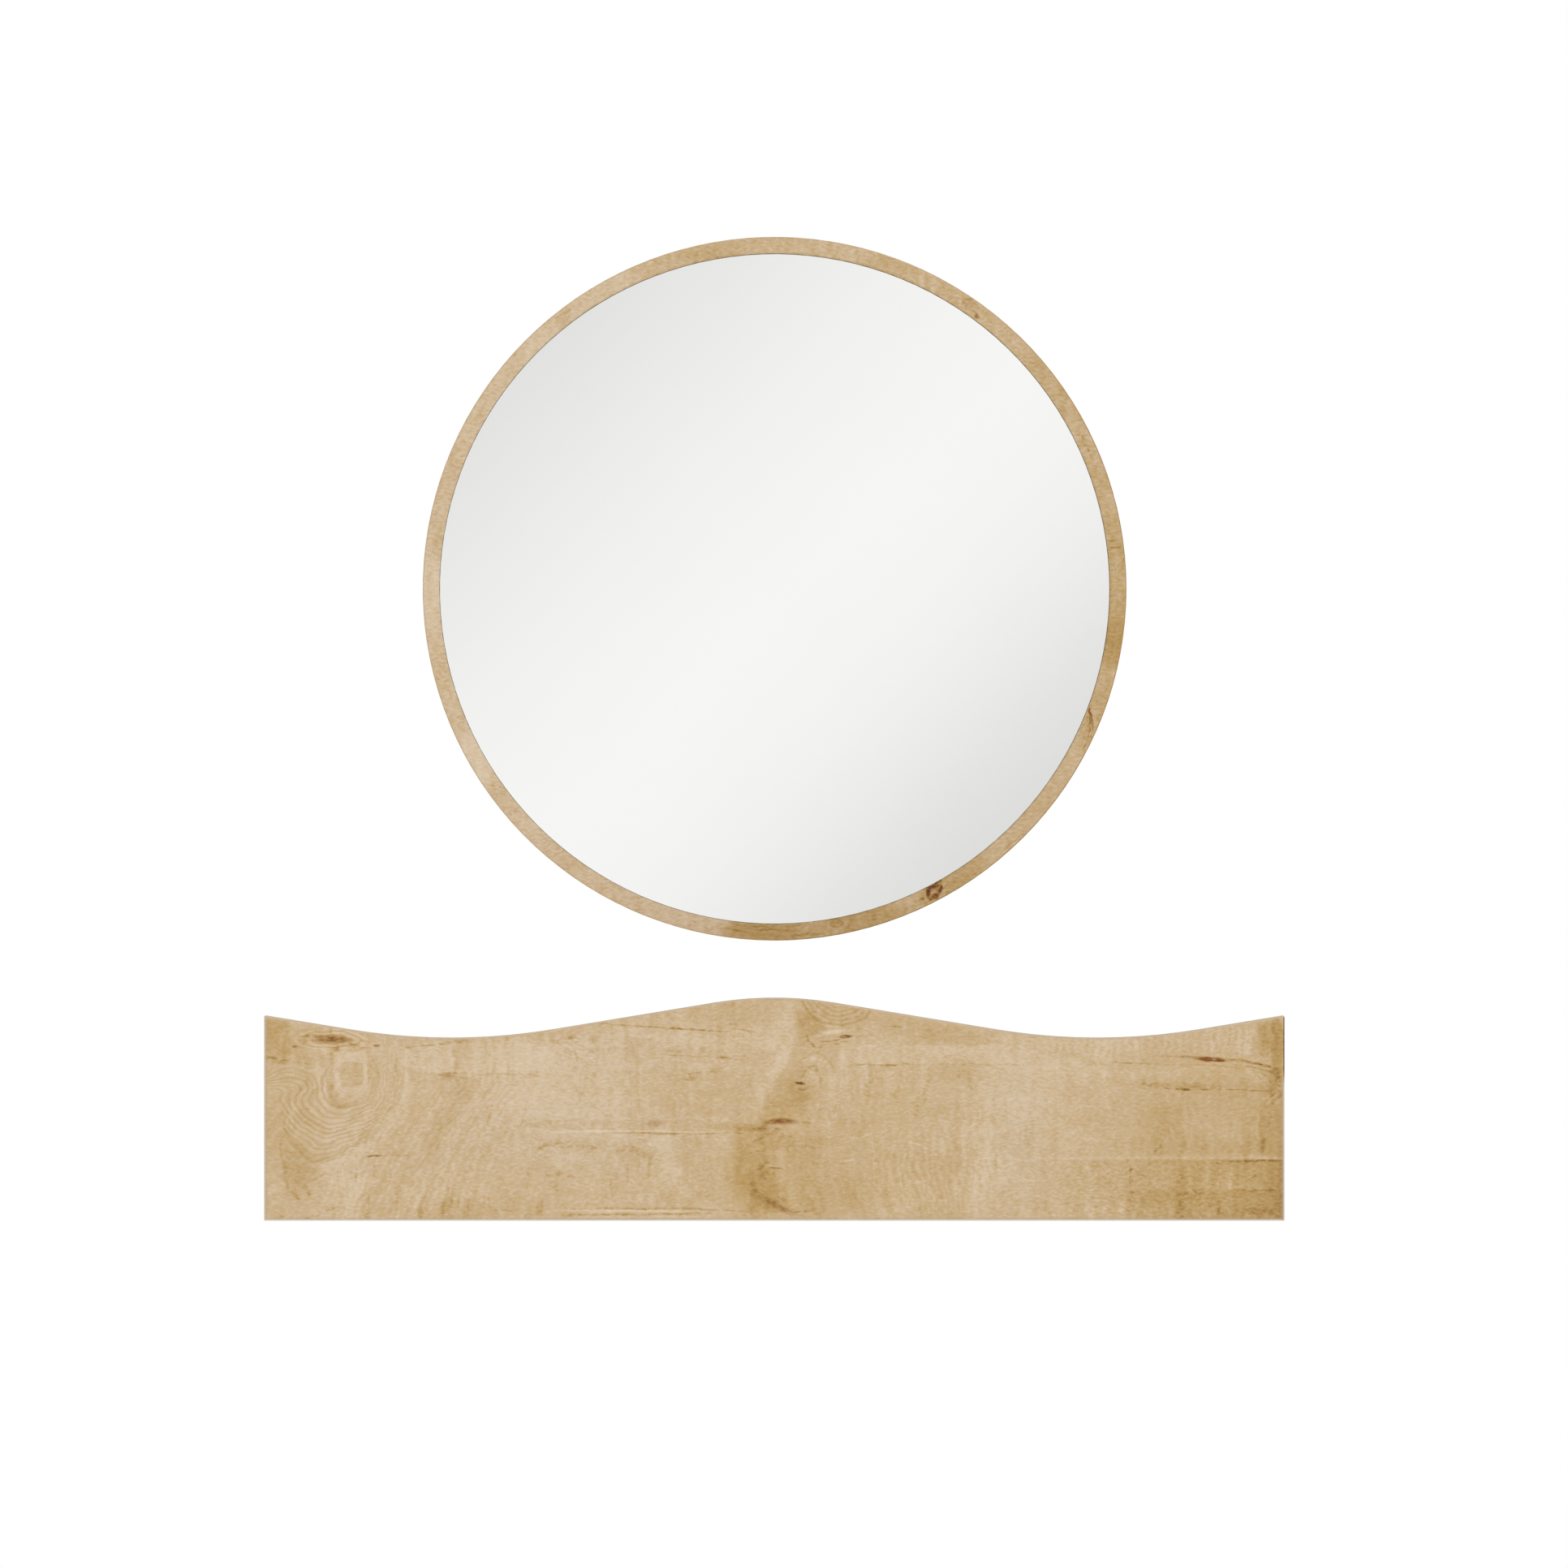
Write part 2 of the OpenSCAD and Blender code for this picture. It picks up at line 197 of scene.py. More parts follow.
    def slab(self, total, p, u, v, a, b, amount):
        """Adds a flat patch with rounded corners and crisper sides."""
        q = self.vec("MULTIPLY_ADD", p, (1 / a, 1 / b, 0), (-u / a, -v / b, 0))
        q = self.vec("MULTIPLY", q, q)
        return self.add(total, self.step(self.vec("DOT_PRODUCT", q, q), 0.45, 1.25, amount, 0.0))

    def dabs(self, total, p, rows, gain=1.0):
        for u, v, a, b, deg, amount in rows:
            total = self.dab(total, p, u, v, a, b, deg, amount * gain)
        return total

    def arc(self, total, p, u, v, a, b, width, amount):
        """Adds the outline of an oval to a running total, width as a share of its size."""
        q = self.vec("MULTIPLY_ADD", p, (1 / a, 1 / b, 0), (-u / a, -v / b, 0))
        r = self.math("ABSOLUTE", self.math("SUBTRACT", self.vec("LENGTH", q), 1.0))
        return self.add(total, self.step(r, 0.0, width, amount, 0.0))


# -------------------------------------------------------------------- oak decor

# Colours of the decor from its palest to its darkest. 0.34 is the usual tone.
OAK = [
    (-0.35, (223, 204, 178)),
    (0.0, (213.6, 192, 163.6)),
    (0.16, (209.6, 186.9, 154.8)),
    (0.34, (202.5, 176.9, 140.9)),
    (0.55, (196.7, 169, 127.4)),
    (0.74, (190, 160.4, 112.8)),
    (1.0, (181.8, 149.4, 96.6)),
    (1.5, (158.4, 123.4, 71.8)),
    (2.4, (112, 74, 42)),
    (3.4, (76, 46, 26)),
]
RED = (138, 84, 48)
GAIN, LIFT = 1.0, -0.022


def shaded(c):
    """A seen colour as a base colour: the light's strength and the sheen taken out."""
    return tuple(max(0.004, x * GAIN + LIFT) for x in lin(c)[:3]) + (1.0,)


def grain(g, p, seed=0.0, columns=1.0, flow=None):
    """The decor's overall grain on p. Returns (tone, fibres, columns, streaks, pores).
    flow is how far the upright figure lines are moved along the grain."""
    s = seed
    bend = g.noise(p, 0.011, 0.028, 2, 0.5, (3.1 + s, 8.7))
    ripple = g.noise(p, 0.075, 0.045, 1, 0.5, (17.0 + s, 5.0))
    warped = g.vec("ADD", p, g.xyz(0.0, g.mad(bend, 1.6, g.mul(ripple, 0.9))))
    curl = g.noise(p, 0.020, 0.05, 2, 0.5, (51.0 + s, 3.0))
    upright = g.vec("ADD", p, g.xyz(g.mul(curl, 1.6), 0.0))
    if flow is not None:
        upright = g.vec("ADD", upright, flow)
    column = g.noise(upright, 0.088, 0.0125, 2.5, 0.5, (7.0 + s, 13.0))
    where = g.step(g.noise(p, 0.0065, 0.011, 1, 0.5, (33.0 + s, 9.0)), -1.0, 1.2, 0.55, 1.3)
    column = g.mul(column, where)
    mottle = g.noise(warped, 0.080, 0.080, 1.5, 0.5, (5.0 + s, 31.0))
    streak = g.noise(warped, 0.0100, 0.060, 2.5, 0.7, (21.0 + s, 2.0))
    fibre = g.noise(warped, 0.140, 0.33, 1, 0.55, (11.0 + s, 4.0))
    tone = g.mad(mottle, 0.031, 0.32)
    tone = g.mad(streak, 0.035, tone)
    tone = g.mad(column, 0.052 * columns, tone)
    tone = g.mad(fibre, 0.078, tone)
    # short dark pores and pale curls, denser where the columns are
    pore = g.mad(column, 0.37, g.noise(warped, 0.13, 0.32, 1.5, 0.6, (71.0 + s, 5.0)))
    pore = g.step(pore, 1.2, 2.4)
    tone = g.mad(pore, 0.22, tone)
    light = g.step(g.noise(warped, 0.10, 0.32, 1, 0.5, (81.0 + s, 41.0)), 1.2, 2.4)
    tone = g.mad(light, -0.20, tone)
    return tone, fibre, column, streak, pore


def chipboard(g):
    """Colour of raw chipboard, where the decor is cut away."""
    v = g.voronoi(g.vec("MULTIPLY", g.obj, (1.0, 1.0, 1.0)), 420.0)
    sep = g.new("ShaderNodeSeparateColor")
    g.put(sep.inputs[0], v.outputs["Color"])
    n = g.noise(g.obj, 900.0, 900.0, 3, 0.6, (2.0, 2.0), "3D", 900.0)
    t = g.mad(n, 0.12, sep.outputs[0])
    return g.ramp(
        t,
        [(0.0, (128, 94, 58)), (0.35, (166, 130, 88)), (0.7, (189, 154, 110)), (1.0, (208, 178, 136))],
        -0.3,
        1.3,
    )


def decor_finish(g, p, tone, red, fibre, pore, raw=None, hue=None, edge_shade_line=None, arris=None):
    """Ends a decor material from its tone, its redness and where it is raw.
    hue greys it where it is above 0, the edge line mask paints shade as a thin grey
    line on the face before an edge band, and arris is the paler milled edge."""
    color = g.ramp(tone, [(t, shaded(c)) for t, c in OAK], -0.35, 3.4)
    wander = g.noise(p, 0.085, 0.13, 2, 0.8, (91.0, 37.0))
    if hue is not None:
        wander = g.add(wander, hue)
    tint = g.xyz(g.mad(wander, -0.004, 1.0), g.mad(wander, 0.003, 1.0), g.mad(wander, 0.026, 1.0))
    color = g.vec("MULTIPLY", color, tint)
    if red is not None:
        color = g.mix(red, color, shaded(RED))
    # painted shade: a thin grey line along the face's edges
    if edge_shade_line is not None:
        color = g.mix(edge_shade_line, color, shaded((172, 162, 148)))
        color = g.mix(arris, color, shaded((220, 210, 198)))
    rough = g.mad(fibre, 0.018, 0.47)
    rough = g.mad(pore, 0.08, rough)
    height = g.mad(fibre, 0.25, g.mul(pore, -1.0))
    normal = g.bump(height, 0.35, 0.00005)
    if raw is not None:
        color = g.mix(raw, color, chipboard(g))
        rough = g.mixf(raw, rough, 0.85)
    return g.finish(color, rough, normal, Specular_IOR_Level=0.42)


# Grain figures of the front panel: u, v, half length, half width, degrees, tone
FRONT_GROUND = [
    # broad changes of tone
    (330, 1280, 28, 36, 0, 0.36),
    (365, 1282, 42, 24, 0, 0.08),
    (335, 1395, 22, 18, 0, 0.10),
    (358, 1436, 26, 36, -10, 0.17),
    (368, 1458, 26, 28, 0, 0.15),
    (345, 1375, 62, 130, 0, 0.13),
    (690, 1340, 150, 66, 0, -0.14),
    (690, 1350, 60, 24, 0, 0.08),
    (1030, 1448, 44, 52, 0, -0.10),
    (942, 1416, 24, 22, 0, -0.12),
    (950, 1466, 28, 26, 0, -0.12),
    (1564, 1355, 10, 46, 0, -0.12),
    (740, 1280, 52, 22, 0, -0.10),
    (1000, 1435, 155, 95, 0, 0.15),
    (1340, 1280, 92, 26, 0, -0.14),
    (1450, 1390, 120, 130, 0, 0.16),
    (1572, 1310, 36, 90, 0, 0.22),
    (1574, 1440, 26, 70, 0, 0.16),
    (1548, 1346, 44, 26, 0, 0.15),
    (1365, 1462, 30, 26, 0, 0.10),
    (1120, 1300, 34, 16, 0, 0.09),
    (970, 1388, 26, 30, 0, -0.10),
    (745, 1384, 40, 26, 0, -0.09),
    (1485, 1386, 48, 36, 0, -0.10),
    (1485, 1474, 46, 30, 0, -0.08),
    (1172, 1320, 42, 20, 0, 0.12),
    (1490, 1322, 46, 12, 0, 0.12),
    (1552, 1402, 30, 56, 0, 0.10),
    (1012, 1408, 36, 40, 0, -0.11),
    (926, 1280, 34, 18, 0, -0.10),
    (1170, 1436, 34, 60, 0, 0.10),
    (1166, 1432, 10, 38, 0, 0.08),
    (1412, 1482, 36, 22, 0, 0.10),
    (448, 1480, 40, 20, 0, 0.08),
    (1250, 1280, 36, 16, 0, -0.07),
    (322, 1492, 34, 16, 0, 0.08),
    (331, 1456, 14, 22, 0, -0.16),
    (331, 1345, 14, 28, 0, -0.08),
    (425, 1455, 36, 36, 0, -0.15),
    (425, 1488, 22, 24, 0, -0.08),
    (668, 1300, 42, 36, 0, -0.12),
    (672, 1355, 55, 32, 0, -0.12),
    (560, 1345, 15, 28, 6, 0.13),
    (543, 1378, 15, 28, 34, 0.14),
    (521, 1410, 15, 28, 32, 0.13),
    (504, 1442, 12, 24, 14, 0.10),
    (552, 1492, 64, 24, 0, 0.16),
    (655, 1490, 52, 22, 0, 0.10),
    (880, 1250, 62, 18, 0, 0.13),
    (830, 1280, 100, 11, 3, -0.12),
    (860, 1312, 42, 8, 0, -0.12),
    (818, 1350, 26, 42, 0, 0.09),
    (880, 1350, 62, 36, 0, 0.08),
    (770, 1403, 84, 8, 0, -0.12),
    (818, 1430, 15, 38, 0, -0.16),
    (688, 1430, 20, 15, 0, -0.14),
    (860, 1440, 34, 50, 0, 0.06),
    (840, 1476, 48, 13, 0, 0.10),
    (922, 1445, 42, 80, 0, 0.34),
    (940, 1470, 34, 40, 30, 0.28),
    (965, 1362, 34, 30, 0, 0.28),
    (950, 1405, 26, 20, 0, 0.24),
    (985, 1340, 26, 36, 12, 0.18),
    (952, 1290, 18, 50, 8, -0.16),
    (988, 1262, 17, 26, 0, 0.32),
    (1035, 1248, 50, 22, 10, 0.20),
    (1110, 1262, 62, 15, 10, 0.18),
    (1170, 1275, 62, 17, 6, 0.16),
    (1010, 1440, 62, 70, 0, 0.16),
    (1005, 1486, 62, 26, 0, 0.12),
    (1050, 1470, 32, 34, 0, 0.10),
    (1132, 1440, 28, 44, 0, 0.10),
    (1150, 1492, 54, 18, 0, 0.14),
    (1120, 1360, 80, 34, 0, 0.06),
    (1205, 1440, 50, 60, 0, -0.12),
    (1245, 1350, 60, 60, 0, -0.12),
    (1290, 1318, 62, 17, 0, -0.15),
    (1345, 1320, 32, 13, 0, -0.12),
    (1318, 1290, 28, 16, 0, 0.10),
    (1400, 1322, 62, 11, 0, -0.10),
    (1470, 1323, 50, 10, 0, -0.08),
    (1565, 1280, 22, 36, 0, 0.36),
    (1490, 1390, 120, 50, 0, 0.15),
    (1490, 1412, 100, 16, 0, 0.10),
    (1520, 1340, 60, 16, 0, 0.10),
    (1420, 1385, 22, 26, 0, 0.12),
    (1380, 1415, 80, 16, 0, 0.06),
    (1568, 1330, 14, 26, 0, 0.34),
]
FRONT_SLABS = [
    # tones with crisp sides
    (582, 1303, 98, 19, 0, -0.16),
    (565, 1303, 13, 17, 0, 0.16),
    (1150, 1299, 125, 12, 0, -0.13),
    (1566, 1394, 21, 34, 0, 0.30),
    (1546, 1280, 8, 24, 0, 0.20),
    (1569, 1290, 8, 44, 0, 0.22),
    (1450, 1338, 32, 5, 0, 0.14),
    (775, 1386, 135, 6.5, 0, 0.11),
    (905, 1389, 38, 6, 0, 0.22),
    (776, 1336, 7, 40, 0, 0.13),
    (838, 1430, 5, 40, 0, 0.08),
    (857, 1440, 5, 40, 0, 0.07),
    (427, 1322, 23, 28, 0, -0.22),
    (427, 1323, 15.5, 16.5, 0, 0.27),
]
FRONT_MARKS = [
    # the dark streak above the big knot
    (402, 1280, 28, 7.0, 2, 0.50),
    (404, 1280.5, 24, 4.6, 3, 0.46),
    (376, 1276.5, 17, 2.2, -6, 0.42),
    (372, 1281.5, 15, 1.6, 4, 0.28),
    (428, 1287, 13, 2.0, 16, 0.45),
    (409, 1292, 6, 7, 60, 0.32),
    (403, 1301, 4, 8, 0, 0.22),
    (443, 1283, 6, 2.4, 0, 0.35),
    (434, 1290.8, 13, 1.6, 7, 0.32),
    (356, 1289.5, 5.5, 2.2, 0, 0.75),
    (459, 1288, 6.5, 2.0, -8, 0.75),
    (446, 1291, 11, 1.5, 5, 0.30),
    (501, 1290, 9, 1.8, -8, 0.55),
    (524, 1287.6, 22, 1.5, -6, 0.42),
    (549, 1285.5, 20, 2.6, -4, 0.36),
    (565, 1283.5, 14, 4.5, 0, 0.26),
    # the left end
    (345, 1307, 8.5, 2.3, 4, 0.75),
    (329, 1304, 11, 3.4, 8, 0.45),
    (338, 1309.4, 16, 1.6, 5, 0.30),
    (364, 1309.4, 13, 1.6, 8, 0.32),
    (402, 1343, 6, 15, 0, 0.20),
    # right of the big knot
    (482, 1309, 1.7, 22, 0, 0.22),
    (459, 1318, 1.5, 24, -3, 0.14),
    (449, 1322, 1.6, 18, -2, 0.20),
    (547, 1324.8, 8.5, 2.6, 0, 0.34),
    (553, 1321.8, 19, 1.9, -1, 0.50),
    (543, 1325, 13, 3.0, 0, 0.24),
    (550, 1330, 17, 2.6, 4, 0.20),
    (566, 1328, 11, 2.0, 8, 0.28),
    (600, 1323.4, 62, 1.6, 0, 0.16),
    (642, 1326, 22, 2.6, 0, 0.14),
    (456, 1424.2, 13, 2.0, -4, 0.95),
    (484, 1423.6, 24, 1.1, 0, 0.20),
    (597, 1376, 2.0, 34, 16, 0.16),
    (640, 1375, 2.2, 30, 16, 0.14),
    # the pouch at the lower left
    (341, 1416, 3.0, 15, -8, 0.26),
    (345, 1440, 3.0, 14, -6, 0.26),
    (349, 1461, 3.4, 11, -14, 0.30),
    (357, 1472, 8, 2.8, 38, 0.32),
    (366, 1477.5, 10, 2.6, 4, 0.36),
    (376, 1469, 4.6, 6.8, -10, 0.34),
    (370, 1462, 6, 3, 0, 0.22),
    (383, 1452, 7, 2.2, -35, 0.34),
    (392, 1446, 8, 2.0, -38, 0.30),
    (378, 1500, 16, 2.0, -14, 0.32),
    (402, 1490, 14, 1.8, -22, 0.30),
    (405, 1428, 24, 1.6, -22, 0.24),
    (436, 1413, 18, 1.4, -32, 0.20),
    # short upright strokes near the bottom edge, on the left
    (540, 1488, 3.4, 14, 0, 0.32),
    (512, 1494, 4.2, 10, 0, 0.34),
    (551, 1478, 2.1, 11, 0, 0.24),
    (559, 1483, 2.1, 11, 0, 0.24),
    (572, 1486, 2.8, 17, 0, 0.22),
    (590, 1479, 2.4, 10, 0, 0.18),
    (597, 1482, 2.8, 15, 0, 0.25),
    (482, 1478, 2.5, 14, 0, 0.20),
    (457, 1440, 2.8, 15, 4, 0.28),
    (449, 1480, 2.5, 13, 4, 0.20),
    (447, 1496, 5, 9, 0, 0.28),
    (431, 1448, 2.8, 4.4, 0, 0.28),
    (545, 1466, 2.1, 7, 0, 0.18),
    (620, 1491, 12, 2.2, 0, 0.26),
    (648, 1499, 2.5, 8, 0, 0.28),
    (660, 1492, 5.5, 14, 4, 0.32),
    (663, 1481, 3.0, 9, 0, 0.20),
    # long lines under the crest, left of the middle
    (735, 1260.6, 11, 1.4, 0, 0.45),
    (766, 1262.8, 34, 1.3, 4, 0.40),
    (800, 1265.4, 24, 1.4, 3, 0.52),
    (827, 1267, 10, 2.0, 2, 0.72),
    (846, 1268.4, 26, 1.4, 3, 0.58),
    (876, 1270.6, 24, 1.2, 3, 0.46),
    (921, 1270.8, 8, 2.0, 14, 0.64),
    (908, 1268.6, 13, 1.2, 8, 0.40),
    (897, 1262, 4.5, 1.9, 20, 0.38),
    (830, 1300.5, 28, 1.3, 2, 0.34),
    (858, 1301.6, 13, 1.3, 0, 0.38),
    (884, 1303, 12, 1.9, 3, 0.54),
    (900, 1305, 13, 1.2, 6, 0.48),
    (877, 1317, 10, 1.6, -4, 0.50),
    (874, 1320.4, 8, 1.5, 0, 0.34),
    (850, 1322, 17, 1.5, -6, 0.36),
    (846, 1328, 11, 4.4, -10, 0.32),
    (833, 1331, 6.5, 3.4, 0, 0.28),
    (860, 1294, 7, 5, -50, 0.26),
    (824, 1295, 16, 2.6, 0, 0.26),
    (872, 1255, 5, 10, 0, 0.16),
    # scales and flecks near the top edge
    (698, 1279, 8, 2.5, -14, 0.55),
    (704, 1301, 2.8, 9, -10, 0.46),
    (726, 1282, 9, 6, 0, 0.26),
    (723, 1294, 11, 3.6, 0, 0.24),
    (727, 1324, 3.6, 4.4, 0, 0.24),
    (703, 1318, 6, 5, 0, 0.24),
    (678, 1284, 8, 4, 20, 0.22),
    (672, 1382, 6, 4, 0, 0.24),
    # the long dark line with a pale line over it
    (775, 1396, 32, 1.2, 0, 0.40),
    (812, 1396.6, 38, 1.6, 0.5, 0.60),
    (862, 1397, 28, 1.3, 0, 0.48),
    (896, 1396, 17, 1.2, 0, 0.28),
    (800, 1385, 13, 4.4, 0, 0.26),
    # arched smudges under it
    (662, 1414, 11, 3.8, -35, 0.34),
    (682, 1409, 20, 2.8, -8, 0.32),
    (690, 1413.5, 15, 2.2, 0, 0.20),
    (716, 1413.5, 26, 4.0, 2, 0.26),
    (760, 1416, 9, 4.4, -40, 0.30),
    (773, 1415, 11, 5.6, 20, 0.28),
    (782, 1423, 8, 3.4, 30, 0.22),
    (789, 1419, 3.6, 9, 0, 0.20),
    (790, 1448, 10, 5.6, -20, 0.27),
    (794, 1435, 3.2, 13, 0, 0.22),
    (768, 1448, 2.6, 19, 0, 0.22),
    (747, 1462, 2.4, 13, 0, 0.22),
    (672, 1448, 8, 3.6, 0, 0.30),
    (685, 1446, 7, 2.8, -6, 0.36),
    (697, 1450, 7, 3.2, 0, 0.34),
    (676, 1459, 7, 8, -20, 0.25),
    (681, 1465, 6, 4, 0, 0.26),
    # lines along the bottom edge
    (768, 1489, 108, 1.3, 0.4, 0.38),
    (842, 1489.4, 32, 1.7, 2, 0.34),
    (882, 1491, 42, 1.5, 3, 0.28),
    (700, 1497, 17, 2.1, 0, 0.56),
    (745, 1496.5, 42, 1.7, 0, 0.44),
    (766, 1496, 15, 1.9, 0, 0.32),
    (820, 1495.6, 42, 1.7, -1, 0.52),
    (862, 1494.5, 18, 1.4, 0, 0.28),
    # the streak and its smear just left of the middle line
    (959, 1381.4, 17, 3.8, 1, 0.58),
    (953, 1382, 28, 5.4, 0, 0.22),
    (957, 1381, 13, 2.8, 0, 0.36),
    (943, 1382.4, 11, 4.0, -6, 0.36),
    (985, 1383, 18, 2.3, 2, 0.38),
    (935, 1388.6, 9, 3.4, -20, 0.26),
    (914, 1390, 28, 4.0, 0, 0.22),
    (928, 1391.6, 13, 2.4, 0, 0.26),
    (1065, 1383, 12, 3.2, 0, 0.22),
    (1042, 1384, 32, 2.2, 0, 0.12),
    (951, 1393, 9, 4.2, -30, 0.40),
    (957, 1401, 4.4, 9, 20, 0.26),
    (940, 1397, 8, 2.6, 10, 0.26),
    (930, 1404, 9, 3.2, -30, 0.22),
    (970, 1405, 3.2, 12, 0, 0.16),
    (931, 1418, 9.5, 2.2, -10, 0.54),
    (918, 1421, 9, 1.6, 0, 0.26),
    (930, 1438, 7, 3.4, 0, 0.40),
    (938, 1432, 4.6, 6, 0, 0.28),
    (948, 1439.2, 11, 1.5, 3, 0.58),
    (939, 1449, 6.5, 10, 0, 0.26),
    (922, 1458, 6, 5, 0, 0.28),
    (925, 1470, 10, 5.6, 50, 0.26),
    (938, 1478, 15, 6, 48, 0.26),
    (952, 1486, 16, 6, 38, 0.28),
    (966, 1491, 13, 3.6, 10, 0.38),
    (984, 1492.4, 14, 1.5, 0, 0.44),
    (960, 1479, 11, 4.4, 40, 0.26),
    # under the fan: tongue, arches and a small eye
    (1036, 1277.6, 12, 2.7, -4, 1.20),
    (1046, 1277, 5, 1.8, 0, 0.50),
    (1018, 1282.4, 17, 2.3, -8, 0.60),
    (1028, 1285.4, 17, 1.9, -8, 0.36),
    (1006, 1289.4, 9, 1.9, -22, 0.46),
    (996, 1287.6, 7, 1.9, 48, 0.46),
    (989, 1279, 2.3, 8, -20, 0.44),
    (1060, 1276, 11, 1.3, -10, 0.28),
    (1070, 1286, 10, 1.2, 6, 0.32),
    (1100, 1265, 9, 1.5, 0, 0.40),
    (1055, 1312, 11, 1.3, -4, 0.38),
    (1090, 1312.2, 13, 1.9, 0, 0.80),
    (1112, 1310.4, 9, 3.2, 0, 0.28),
    (1074, 1312, 14, 1.1, 0, 0.28),
    (1190, 1311.5, 80, 1.8, 0, 0.13),
    (990, 1301, 11, 2.0, -32, 0.26),
    (1001, 1297, 7, 1.8, 0, 0.26),
    (1011, 1302, 8, 2.0, 42, 0.26),
    (1019, 1312, 8, 1.6, 66, 0.28),
    (984, 1322, 10, 1.7, -55, 0.32),
    (994, 1314.5, 8, 1.9, -14, 0.36),
    (1002, 1321, 2.8, 12, -16, 0.32),
    (1006, 1333, 3.2, 10, -8, 0.30),
    (980, 1334.6, 8.5, 2.7, 4, 1.15),
    (984, 1341, 9, 2.6, -4, 0.44),
    # upright smudges right of the middle
    (1066, 1335, 5.0, 22, 4, 0.19),
    (1063, 1351, 5.0, 15, 0, 0.14),
    (1101, 1350, 4.2, 15, 6, 0.14),
    (1122, 1366, 8.5, 17, 8, 0.14),
    (1123, 1374, 5.0, 6, 0, 0.07),
    (1139, 1328, 4.2, 19, 8, 0.20),
    (1133, 1352, 4.2, 15, 8, 0.15),
    (1191, 1338, 3.6, 17, -2, 0.16),
    (1176, 1325, 3.2, 15, 0, 0.14),
    (1222, 1432, 1.9, 14, 0, 0.22),
    # the crack and the fan of lines at the right end
    (1384, 1309.8, 9.5, 1.8, 2, 0.92),
    (1370, 1309, 15, 1.2, 1, 0.38),
    (1412, 1310.6, 26, 1.1, 1, 0.28),
    (1457, 1312, 38, 1.2, 1, 0.28),
    (1500, 1314, 26, 1.4, 6, 0.28),
    (1486, 1305, 21, 4.0, 1, 1.08),
    (1477, 1303.8, 17, 2.4, 0, 0.44),
    (1497, 1307, 12, 2.4, 4, 0.44),
    (1450, 1301.6, 20, 1.3, 0, 0.46),
    (1425, 1301, 22, 1.1, 0, 0.24),
    (1478, 1305.2, 10, 1.4, 2, 0.50),
    (1500, 1306.2, 8, 1.7, 4, 0.60),
    (1507, 1306.2, 9, 1.9, 3, 0.50),
    (1520, 1306.4, 17, 2.6, 5, 0.48),
    (1538, 1309.6, 17, 2.4, 11, 0.56),
    (1555, 1313.4, 14, 2.2, 12, 0.50),
    (1562, 1322, 9, 3.2, 50, 0.22),
    (1569, 1331, 5, 14, 0, 0.30),
    (1541, 1315.4, 15, 1.5, 14, 0.48),
    (1522, 1312.6, 15, 1.3, 8, 0.34),
    (1553, 1318, 13, 1.4, 20, 0.34),
    (1569, 1319, 9, 5, 0, 0.18),
    (1533, 1317, 15, 1.3, 20, 0.28),
    (1546, 1328, 10, 1.2, 40, 0.24),
    (1552, 1324, 11, 1.3, 40, 0.26),
    (1560, 1333, 10, 1.3, 52, 0.30),
    (1452, 1342.4, 16, 2.4, 4, 0.82),
    (1481, 1342, 22, 1.5, -2, 0.50),
    (1516, 1343, 26, 1.3, 1, 0.46),
    (1550, 1344, 25, 1.3, 1, 0.46),
    (1410, 1336, 38, 4.4, 2, 0.18),
    (1472, 1338.4, 36, 2.8, 0, 0.24),
    (1404, 1334, 3.2, 6.5, 0, 0.24),
    (1413, 1337, 3.2, 6, 0, 0.20),
    (1433, 1341, 7, 1.7, 12, 0.32),
    (1559, 1353, 14, 1.9, -45, 0.50),
    (1548, 1362, 9, 1.7, -40, 0.44),
    (1566, 1356, 12, 3.2, -42, 0.36),
    (1572, 1349, 9, 4.4, -40, 0.30),
    (1559, 1381, 3.2, 10, 6, 0.28),
    (1551, 1410, 4.4, 13, 4, 0.26),
    (1418, 1419, 2.1, 6.5, 4, 0.40),
    (1423, 1412, 2.1, 7, 24, 0.26),
    # the long pale line at the right and the darker wood under it
    (1546, 1430, 42, 2.0, 0, 0.58),
    (1512, 1431, 17, 1.4, 2, 0.34),
    (1490, 1433, 22, 1.3, 6, 0.18),
    (1387, 1444, 2.3, 10, 4, 0.42),
    (1386, 1458, 2.1, 8, 0, 0.26),
    (1388, 1469, 4.6, 3.6, 0, 0.40),
    (1446, 1484, 4.6, 17, 0, 0.17),
    (1444, 1497, 5.4, 8, 0, 0.26),
    (1458, 1472, 3.2, 6, 0, 0.26),
    (1468, 1470, 2.1, 11, 0, 0.24),
    (1484, 1485, 2.6, 4.6, 0, 0.30),
    (1496, 1488, 2.1, 11, 0, 0.20),
    (1541, 1466.5, 38, 1.9, 0, 0.34),
    (1540, 1450, 15, 1.4, -20, 0.28),
    (1545, 1493, 26, 6, 0, 0.22),
]
